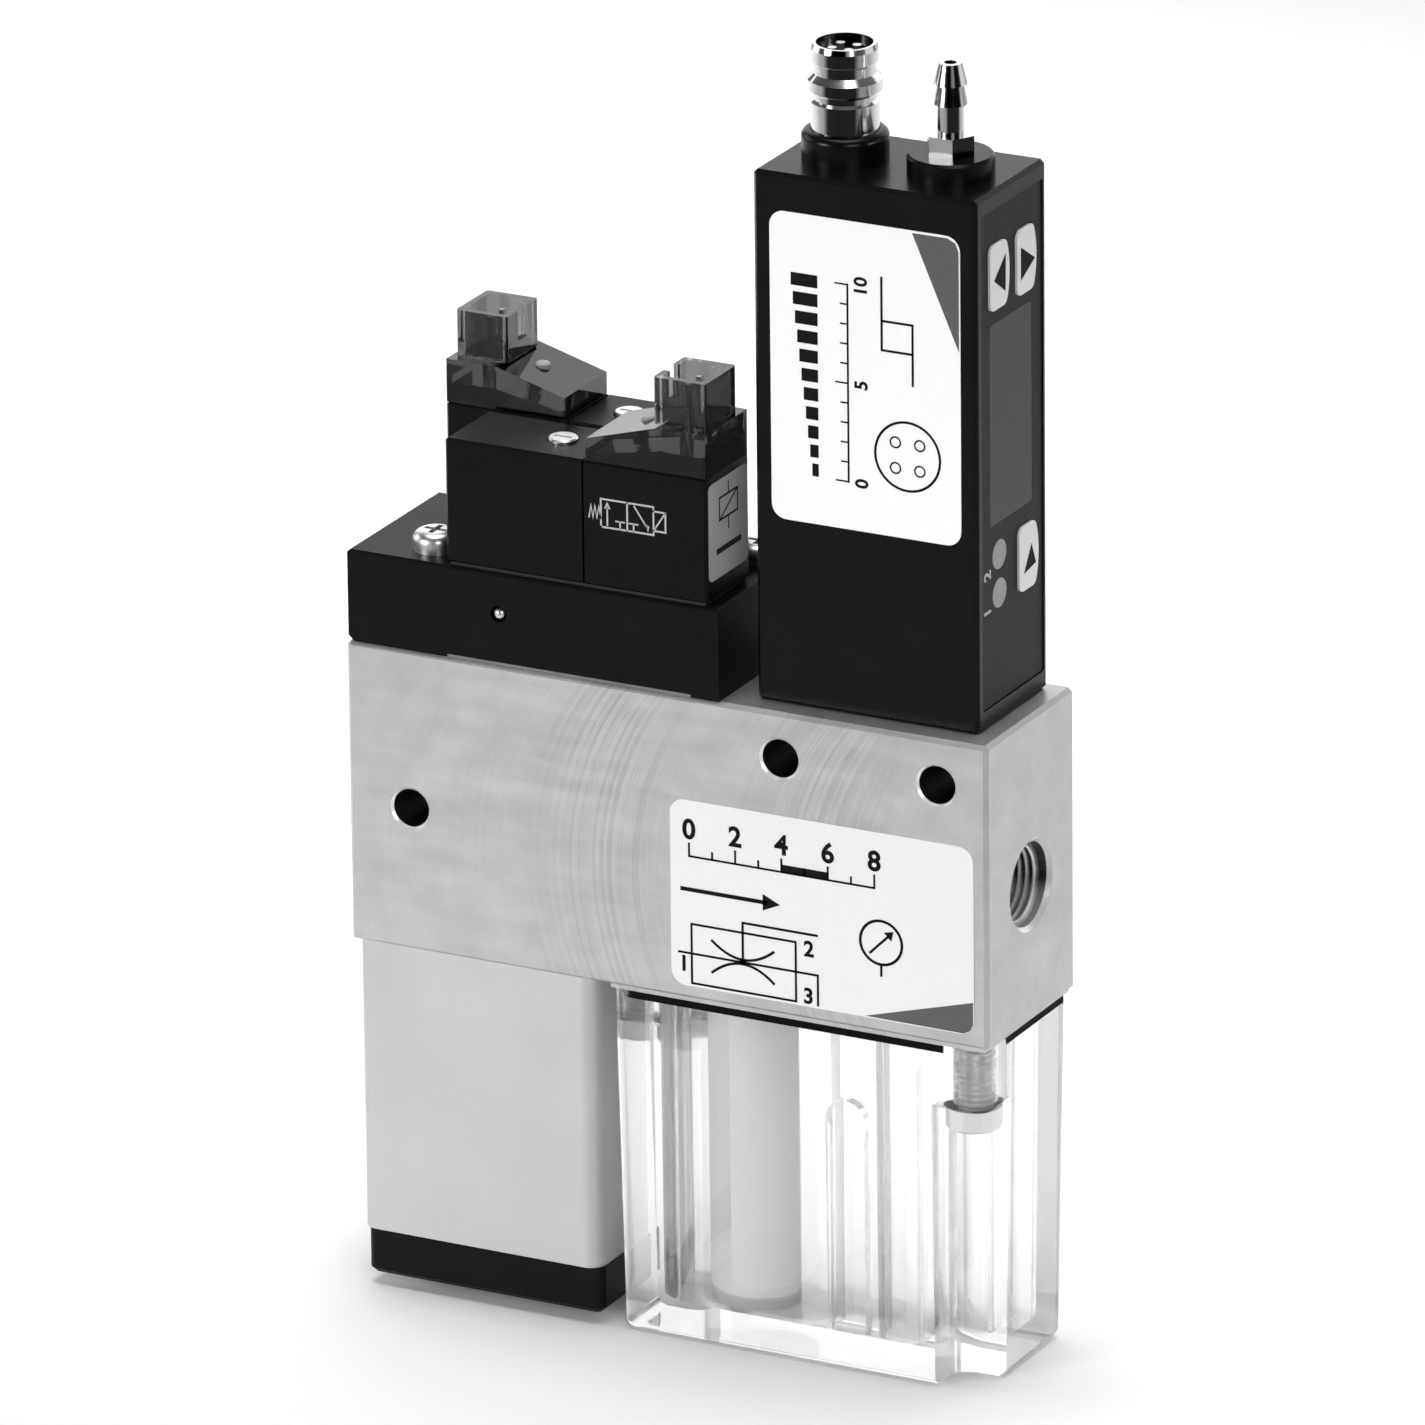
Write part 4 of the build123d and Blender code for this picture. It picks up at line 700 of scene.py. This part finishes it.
class Print:
    """Flat ink shapes on one sheet, gathered into one mesh."""

    def __init__(self, sheet):
        self.sheet = sheet
        self.bm = bmesh.new()

    def polygon(self, points):
        self.bm.faces.new([self.bm.verts.new(self.sheet.at(u, v)) for u, v in points])

    def box(self, u0, v0, u1, v1):
        self.polygon([(u0, v0), (u1, v0), (u1, v1), (u0, v1)])

    def line(self, points, width=0.3):
        """A stroke of one width along a chain of points, as one strip with mitred corners."""
        chain = [Vector(p) for p in points]
        sides = []
        for index, here in enumerate(chain):
            before = chain[index - 1] if index else None
            after = chain[index + 1] if index + 1 < len(chain) else None
            into = (here - before).normalized() if before is not None else None
            out = (after - here).normalized() if after is not None else None
            direction = ((into or out) + (out or into)).normalized()
            normal = Vector((-direction.y, direction.x))
            share = normal.dot(Vector((-(out or into).y, (out or into).x)))
            reach = width / 2 / max(share, MITRE_LIMIT)
            if into is None:
                here = here - out * width / 2
            if out is None:
                here = here + into * width / 2
            sides.append((here + normal * reach, here - normal * reach))
        for (a, b), (c, d) in zip(sides, sides[1:]):
            self.polygon([b, d, c, a])

    def ring(self, u, v, radius, width, parts=40):
        steps = [2 * math.pi * k / parts for k in range(parts + 1)]
        inner, outer = radius - width / 2, radius + width / 2
        for a, b in zip(steps, steps[1:]):
            self.polygon([
                (u + inner * math.cos(a), v + inner * math.sin(a)),
                (u + outer * math.cos(a), v + outer * math.sin(a)),
                (u + outer * math.cos(b), v + outer * math.sin(b)),
                (u + inner * math.cos(b), v + inner * math.sin(b)),
            ])

    def dot(self, u, v, radius, parts=28):
        turns = [2 * math.pi * k / parts for k in range(parts)]
        self.polygon([(u + radius * math.cos(t), v + radius * math.sin(t)) for t in turns])

    def done(self, name, material, body="body"):
        bmesh.ops.recalc_face_normals(self.bm, faces=self.bm.faces)
        add_piece(name, mesh_of(name, self.bm), material, body)


# Digits are thickened by this share of their size, and some read from the right
DIGIT_WEIGHT = 0.03
UPRIGHT = math.pi / 2


def digit(name, text, sheet, u, v, size, material, turn=0.0):
    """A plain number, centred on a place of the sheet, as flat mesh."""
    curve = bpy.data.curves.new(name, "FONT")
    curve.body = text
    curve.size = size * MM
    curve.align_x = "CENTER"
    curve.align_y = "CENTER"
    curve.resolution_u = 6
    curve.offset = DIGIT_WEIGHT * size * MM
    letter = bpy.data.objects.new(name + "_curve", curve)
    bpy.context.scene.collection.objects.link(letter)
    bpy.context.view_layer.update()
    evaluated = letter.evaluated_get(bpy.context.evaluated_depsgraph_get())
    mesh = bpy.data.meshes.new_from_object(evaluated)
    bpy.data.objects.remove(letter)
    mesh.transform(sheet.matrix(u, v, turn))
    add_piece(name, mesh, material, "body")


CURVE_STEPS = 14


def curve_points(start, middle, end):
    """Points on the parabola that runs through three places, evenly spaced in u."""
    (u0, v0), (u1, v1), (u2, v2) = start, middle, end
    points = []
    for k in range(CURVE_STEPS + 1):
        u = u0 + (u2 - u0) * k / CURVE_STEPS
        a = (u - u1) * (u - u2) / ((u0 - u1) * (u0 - u2))
        b = (u - u0) * (u - u2) / ((u1 - u0) * (u1 - u2))
        c = (u - u0) * (u - u1) / ((u2 - u0) * (u2 - u1))
        points.append((u, a * v0 + b * v1 + c * v2))
    return points


# The body label: an ejector symbol with numbered ports, a flow arrow, a gauge symbol and a scale.
# Places and sizes on the labels are in millimetres from the label's lower left corner.

SYMBOL = (2.6, 0.4, 15.7, 7.5)
SYMBOL_MIDDLE = 3.95
SYMBOL_CROSS = 9.05
SUCTION_LEVEL = 8.7
PORT_DIGITS = (("1", 1.6, 2.55), ("2", 17.35, 6.85), ("3", 17.25, 1.2))
PORT_DIGIT_SIZE = 2.6
SCALE_START, SCALE_END, SCALE_LEVEL = 2.4, 25.6, 15.6
SCALE_MARKS = 8
SCALE_DIGIT_RISE, SCALE_DIGIT_SIZE = 3.1, 3.3
FLOW_LEVEL = 11.6
GAUGE = (26.4, 9.2, 2.6)
BODY_WEDGE = [(24.3, 0.15), (36.6, 0.1), (37.4, 0.5), (37.8, 1.3), (37.8, 3.95)]


def ejector_symbol(art):
    """A nozzle in a box: supply on the left, suction above it, the outlet on the right."""
    left, low, right, high = SYMBOL
    outlet, suction_end = right + 2.75, (right + 2.65, SUCTION_LEVEL)
    suction = [(SYMBOL_CROSS, SYMBOL_MIDDLE), (SYMBOL_CROSS, SUCTION_LEVEL), suction_end]
    art.line([(left, low), (right, low), (right, high), (left, high), (left, low)], width=0.28)
    art.line([(left - 1.6, SYMBOL_MIDDLE), (outlet, SYMBOL_MIDDLE), (outlet, low)], width=0.28)
    art.line(suction, width=0.3)
    art.line(curve_points((5.2, 5.9), (SYMBOL_CROSS, 4.25), (12.9, 5.8)), width=0.32)
    art.line(curve_points((5.2, 2.15), (SYMBOL_CROSS, 3.75), (12.9, 2.05)), width=0.32)
    art.dot(SYMBOL_CROSS, 4.0, radius=0.42)


def gauge_symbol(art, u, v, radius):
    """A circle with a needle and a stem: the sign for a pressure gauge."""
    art.ring(u, v, radius, width=0.34)
    reach = radius * 0.52
    art.line([(u - reach, v - reach), (u + reach * 0.6, v + reach * 0.6)], width=0.3)
    art.polygon([
        (u + reach * 0.95, v + reach * 0.25),
        (u + reach * 1.15, v + reach * 1.15),
        (u + reach * 0.25, v + reach * 0.95),
    ])
    art.line([(u, v - radius), (u, v - radius - 1.3)], width=0.3)


def print_wedge(label, points, material):
    """The grey corner of a label."""
    corner = Print(front_sheet(label))
    corner.polygon(points)
    corner.done(label + "_wedge", material)


def print_body_label(black, dark_grey):
    sheet = front_sheet("body_label")
    art = Print(sheet)
    ejector_symbol(art)
    step = (SCALE_END - SCALE_START) / SCALE_MARKS
    art.line([(SCALE_START, SCALE_LEVEL), (SCALE_END, SCALE_LEVEL)], width=0.26)
    art.box(SCALE_START + 4 * step, SCALE_LEVEL, SCALE_START + 6 * step, SCALE_LEVEL + 0.9)
    for mark in range(SCALE_MARKS + 1):
        reach = 1.5 if mark % 2 == 0 else 0.8
        u = SCALE_START + mark * step
        art.line([(u, SCALE_LEVEL), (u, SCALE_LEVEL + reach)], width=0.26)
    art.line([(1.5, FLOW_LEVEL), (12.0, FLOW_LEVEL)], width=0.5)
    art.polygon([(11.6, FLOW_LEVEL - 1.0), (13.8, FLOW_LEVEL), (11.6, FLOW_LEVEL + 1.0)])
    gauge_symbol(art, *GAUGE)
    art.done("body_label_print", black)
    for text, u, v in PORT_DIGITS:
        digit("body_label_digit_" + text, text, sheet, u, v, PORT_DIGIT_SIZE, black)
    for mark in range(0, SCALE_MARKS + 1, 2):
        u, v = SCALE_START + mark * step, SCALE_LEVEL + SCALE_DIGIT_RISE
        name = "body_label_scale_%d" % mark
        digit(name, str(mark), sheet, u, v, SCALE_DIGIT_SIZE, black)
    print_wedge("body_label", BODY_WEDGE, dark_grey)


# The switch label: level blocks, a scale that reads from the right, a switching curve, the pin-out

LEVEL_BLOCKS = 11
LEVEL_START, LEVEL_STEP, LEVEL_BASE = 5.6, 2.2, 5.9
LEVEL_LOW, LEVEL_HIGH = 0.8, 3.3
LEVEL_FILL = 0.68
CURVE_LOW, CURVE_HIGH = 13.8, 17.6
PLUG_U, PLUG_V, PLUG_R = 16.9, 9.6, 4.0
PIN_OFFSET, PIN_R = 1.5, 0.62
RULE_U, RULE_LOW, RULE_STEP, RULE_MARKS = 9.6, 5.6, 2.3, 10
RULE_DIGIT_RISE, RULE_DIGIT_SIZE = 1.7, 2.2
SWITCH_WEDGE = [(17.6, 35.75), (21.9, 35.75), (22.9, 35.3), (23.3, 34.3), (23.3, 22.7)]


def print_switch_label(black, dark_grey):
    sheet = front_sheet("switch_label")
    art = Print(sheet)
    for block in range(LEVEL_BLOCKS):
        foot = LEVEL_START + block * LEVEL_STEP
        rise = LEVEL_LOW + (LEVEL_HIGH - LEVEL_LOW) * block / (LEVEL_BLOCKS - 1)
        art.box(LEVEL_BASE - rise, foot, LEVEL_BASE, foot + LEVEL_STEP * LEVEL_FILL)
    switching_on = [(CURVE_HIGH, 18.0), (CURVE_HIGH, 25.0), (CURVE_LOW, 25.0), (CURVE_LOW, 30.0)]
    art.line(switching_on, width=0.28)
    art.line([(CURVE_HIGH, 21.6), (CURVE_LOW, 21.6), (CURVE_LOW, 25.0)], width=0.28)
    art.ring(PLUG_U, PLUG_V, PLUG_R, width=0.3)
    for right, up in ((-1, -1), (-1, 1), (1, 1), (1, -1)):
        art.ring(PLUG_U + right * PIN_OFFSET, PLUG_V + up * PIN_OFFSET, PIN_R, width=0.2, parts=20)
    art.line([(RULE_U, RULE_LOW), (RULE_U, RULE_LOW + RULE_STEP * RULE_MARKS)], width=0.24)
    for mark in range(RULE_MARKS + 1):
        reach = 1.5 if mark % 5 == 0 else 0.85
        v = RULE_LOW + mark * RULE_STEP
        art.line([(RULE_U, v), (RULE_U - reach, v)], width=0.2)
    art.done("switch_label_print", black)
    for mark in range(0, RULE_MARKS + 1, 5):
        u, v = RULE_U + RULE_DIGIT_RISE, RULE_LOW + mark * RULE_STEP
        name = "switch_label_scale_%d" % mark
        digit(name, str(mark), sheet, u, v, RULE_DIGIT_SIZE, black, turn=UPRIGHT)
    print_wedge("switch_label", SWITCH_WEDGE, dark_grey)


# The valves: a switching symbol on the long side, a coil symbol on the end label

SWITCHING_FROM_END, SWITCHING_LEVEL = 15.2, 3.2
SWITCHING_PLACE = (2.0, 4.0)
SQUARE = 3.3
COIL_LEVEL = 8.0
COIL_W, COIL_H = 2.2, 1.3


def print_valves(white, black):
    """The rear valve is the front one turned round, and so are its prints."""
    for place in ("front", "rear"):
        low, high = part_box("valve_body_" + place)
        label_low, label_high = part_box("valve_label_" + place)
        level = low.z + SWITCHING_LEVEL * MM
        if place == "front":
            side = Sheet((high.x - SWITCHING_FROM_END * MM, low.y, level), (1, 0, 0), (0, 0, 1))
            end = Sheet((label_high.x, label_low.y, label_low.z), (0, 1, 0), (0, 0, 1))
        else:
            side = Sheet((low.x + SWITCHING_FROM_END * MM, high.y, level), (-1, 0, 0), (0, 0, 1))
            end = Sheet((label_low.x, label_high.y, label_low.z), (0, -1, 0), (0, 0, 1))
        art = Print(side)
        switching_symbol(art, *SWITCHING_PLACE)
        art.done("valve_symbol_" + place, white)
        art = Print(end)
        coil_symbol(art, (label_high.y - label_low.y) / MM / 2, COIL_LEVEL)
        art.done("valve_end_symbol_" + place, black)


def switching_symbol(art, u, v):
    """A two-position valve: two squares, a spring on the left, a coil on the right."""
    middle, coil, top = u + SQUARE, u + 2 * SQUARE, v + SQUARE
    art.line([(u, v), (coil, v), (coil, top), (u, top), (u, v)], width=0.22)
    art.line([(middle, v), (middle, top)], width=0.22)
    art.line([(u + 0.8, v + 0.3), (u + 0.8, top - 0.9)], width=0.2)
    art.polygon([(u + 0.4, top - 1.1), (u + 1.2, top - 1.1), (u + 0.8, top - 0.25)])
    for closed in (u + 2.4, middle + 0.8):
        art.line([(closed, v), (closed, v + 0.9)], width=0.2)
        art.line([(closed - 0.5, v + 0.9), (closed + 0.5, v + 0.9)], width=0.2)
    art.line([(middle + 0.9, top - 0.3), (middle + 2.5, v + 0.7)], width=0.2)
    art.polygon([(middle + 2.2, v + 1.2), (middle + 2.8, v + 0.9), (middle + 2.6, v + 0.2)])
    spring = [(u - 0.25 * k, v + SQUARE / 2 + (0.7 if k % 2 else -0.7)) for k in range(7)]
    art.line(spring, width=0.18)
    solenoid = [(coil, v + 0.5), (coil + 1.5, v + 0.5), (coil + 1.5, top - 0.5), (coil, top - 0.5)]
    art.line(solenoid, width=0.22)
    art.line([(coil, v + 0.5), (coil + 1.5, top - 0.5)], width=0.18)


def coil_symbol(art, u, v):
    """A coil between its two leads, over a bar."""
    left, right, low, high = u - COIL_W, u + COIL_W, v - COIL_H, v + COIL_H
    art.line([(left, low), (right, low), (right, high), (left, high), (left, low)], width=0.25)
    art.line([(left, low), (right, high)], width=0.25)
    art.line([(u, low), (u, v - 2.8)], width=0.25)
    art.line([(u, high), (u, v + 2.6)], width=0.25)
    art.box(u - 3.0, v - 5.2, u + 3.0, v - 4.5)


# The keypad: arrows on the keys, digits by the two lamps, as (depth behind the body's front face,
# height above its underside)

KEY_ARROWS = {
    "key_up": [(7.1, 87.9), (9.95, 85.9), (10.05, 90.3)],
    "key_down": [(17.3, 87.6), (13.8, 89.8), (13.8, 85.9)],
    "key_mode": [(14.25, 51.4), (17.3, 51.9), (16.2, 54.5)],
}
LAMP_DIGITS = (("2", 5.75, 53.9), ("1", 5.75, 49.6))
LAMP_DIGIT_SIZE = 2.3


def print_keypad(black, pale):
    """The arrows sit on the keys and ride with them."""
    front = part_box("body_block")[0].y / MM
    foot = body_foot() / MM
    for key, points in KEY_ARROWS.items():
        art = Print(right_sheet(key))
        art.polygon([(depth + front, height + foot) for depth, height in points])
        art.done(key + "_arrow", black, body=key)
    sheet = right_sheet("keypad_panel")
    for text, depth, height in LAMP_DIGITS:
        u, v = depth + front, height + foot
        digit("lamp_digit_" + text, text, sheet, u, v, LAMP_DIGIT_SIZE, pale, UPRIGHT)


# Threads of the two ports: the bore they stand in, their pitch and height, the flat of their crest
# as shares of the pitch, and the turns over which they rise

PORT_R = 4.865
PORT_PITCH = 0.907
PORT_THREAD_H = 0.58
PORT_CREST = (0.39, 0.61)
THREAD_RUN_IN = 0.7
THREAD_PARTS = 48
THREAD_CLEARANCE = 0.02
THREAD_START = 0.5
VACUUM_THREAD_L, SUPPLY_THREAD_L = 11.0, 9.0


def port_thread(name, x_mouth, inward, length, y, z, material):
    """The thread in a port: a helical ridge that stands inwards from the wall of the bore."""
    bm = bmesh.new()
    turns = int(length / PORT_PITCH)
    rise, fall = PORT_CREST
    profile = ((0.0, 0.0), (rise, PORT_THREAD_H), (fall, PORT_THREAD_H), (1.0, 0.0))
    rows = []
    for k in range(turns * THREAD_PARTS + 1):
        turn = k / THREAD_PARTS
        angle = 2 * math.pi * k / THREAD_PARTS
        row = []
        for share, height in profile:
            r = (PORT_R - THREAD_CLEARANCE - height * min(1.0, turn / THREAD_RUN_IN)) * MM
            x = x_mouth + inward * (turn * PORT_PITCH + share * PORT_PITCH) * MM
            row.append(bm.verts.new((x, y + r * math.cos(angle), z + r * math.sin(angle))))
        rows.append(row)
    for a, b in zip(rows, rows[1:]):
        for i in range(len(profile) - 1):
            bm.faces.new((a[i], a[i + 1], b[i + 1], b[i]))
    for face in bm.faces:
        face.smooth = True
    bmesh.ops.remove_doubles(bm, verts=bm.verts, dist=1e-6)
    bmesh.ops.recalc_face_normals(bm, faces=bm.faces)
    for edge in bm.edges:
        # The edges across the helix are smooth, and the ones along it stay sharp
        first, second = (math.atan2(v.co.y - y, v.co.z - z) for v in edge.verts)
        edge.smooth = abs(first - second) < 0.01
    add_piece(name, mesh_of(name, bm), material, "body")


def cut_thread(name, y, z):
    """The metal of a cut thread with painted light: painted highlights on the crests, painted shade
    in the roots, and painted light on the lower part, where light from above falls.
    """
    finish = Finish(name, grey(0.6), 0.3, Metallic=0.55)
    place = finish.axes()
    dy = finish.minus(place[1], y)
    dz = finish.minus(place[2], z)
    radius = finish.math("SQRT", finish.squares(dy, dz))
    height = finish.over(finish.minus(PORT_R * MM, radius), PORT_THREAD_H * MM)
    chatter = finish.times(finish.noise(scale=900, detail=3), 0.12)
    # Painted shade in the roots and painted highlights on the crests, with random chatter
    shade = finish.plus(finish.math("POWER", height, 4.0), chatter)
    # Painted light on the lower part of the port's wall
    shade = finish.plus(shade, finish.times(port_pale(finish, dz), 0.45))
    finish.tint(shade, grey(0.0), grey(0.9))
    finish.rough(finish.noise(scale=600, detail=3), low=0.24, high=0.4)
    return finish.material


def add_threads():
    low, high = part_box("body_block")
    middle = (low.y + high.y) / 2
    inset = THREAD_START * MM
    for name, mouth, inward, length, level in (
        ("vacuum_port_thread", high.x - inset, -1, VACUUM_THREAD_L, VACUUM_PORT_LEVEL),
        ("supply_port_thread", low.x + inset, 1, SUPPLY_THREAD_L, SUPPLY_PORT_LEVEL),
    ):
        axis = body_foot() + level * MM
        metal = cut_thread(name + "_metal", middle, axis)
        port_thread(name, mouth, inward, length, middle, axis, metal)


# Light and ground

LAMPS = (
    # name, place, aim, width, height, spread in degrees, power
    ("overhead", (-0.12, 0.20, 0.52), (-0.12, 0.20, 0.0), 0.90, 0.6, 55, 1.55),
    ("back_wall", (-0.35, 1.20, 0.55), (0, 0, 0.12), 2.1, 1.1, 180, 8.8),
    ("right_wall", (1.05, 0.62, 0.35), (0, 0, 0.08), 0.8, 0.6, 180, 1.1),
    ("front_right", (0.80, -0.80, 0.48), (0, 0, 0.06), 0.5, 0.4, 60, 0.50),
    ("left_wall", (-1.00, 0.00, 0.35), (0, 0, 0.08), 0.7, 0.6, 180, 2.1),
    ("front_low", (-0.62, -1.00, 0.30), (0, 0, 0.09), 0.5, 0.4, 35, 0.52),
)


def add_lamps():
    for name, place, aim, width, height, spread, power in LAMPS:
        data = bpy.data.lights.new(name, "AREA")
        data.shape = "RECTANGLE"
        data.size = width
        data.size_y = height
        data.spread = math.radians(spread)
        data.energy = power
        lamp = bpy.data.objects.new(name, data)
        lamp.location = place
        aimed = Vector(aim) - Vector(place)
        lamp.rotation_euler = aimed.to_track_quat("-Z", "Y").to_euler()
        lamp.visible_camera = False
        bpy.context.scene.collection.objects.link(lamp)


# The room is this bright behind the camera and behind the object, between these two directions
ROOM_FRONT, ROOM_BACK = 0.04, 1.0
ROOM_FADE_FROM, ROOM_FADE_TO = -0.8, 0.4
ROOM_STRENGTH = 0.16


def add_world():
    """A dim room that is darker towards the front."""
    world = bpy.data.worlds.new("studio")
    bpy.context.scene.world = world
    world.use_nodes = True
    tree = world.node_tree
    background = tree.nodes["Background"]
    direction = tree.nodes.new("ShaderNodeTexCoord").outputs["Generated"]
    split = tree.nodes.new("ShaderNodeSeparateXYZ")
    tree.links.new(direction, split.inputs[0])
    ramp = tree.nodes.new("ShaderNodeMapRange")
    ramp.inputs["From Min"].default_value = ROOM_FADE_FROM
    ramp.inputs["From Max"].default_value = ROOM_FADE_TO
    ramp.inputs["To Min"].default_value = ROOM_FRONT
    ramp.inputs["To Max"].default_value = ROOM_BACK
    tree.links.new(split.outputs[1], ramp.inputs["Value"])
    tree.links.new(ramp.outputs[0], background.inputs["Color"])
    background.inputs["Strength"].default_value = ROOM_STRENGTH


FLOOR_REACH = 4.0
FLOOR_DROP = 0.05 * MM


def add_floor():
    bm = bmesh.new()
    reach = FLOOR_REACH
    corners = ((-reach, -reach), (reach, -reach), (reach, reach), (-reach, reach))
    bm.faces.new([bm.verts.new((x, y, -FLOOR_DROP)) for x, y in corners])
    mesh = mesh_of("floor", bm)
    finish = Finish("floor_paint", grey(0.90), 0.9, Specular_IOR_Level=0.1)
    finish.tint(finish.noise(scale=2, detail=2), grey(0.89), grey(0.91))
    mesh.materials.append(finish.material)
    floor = bpy.data.objects.new("floor", mesh)
    bpy.context.scene.collection.objects.link(floor)


def main():
    bpy.context.scene.view_settings.view_transform = "Standard"
    add_camera()
    add_world()
    add_lamps()
    add_floor()
    dress_nodes()
    black = ink("black_ink", 0.01)
    dark_grey = ink("grey_ink", 0.12)
    pale = ink("pale_ink", 0.5)
    print_body_label(black, dark_grey)
    print_switch_label(black, dark_grey)
    print_keypad(black, pale)
    print_valves(pale, black)
    add_threads()


main()
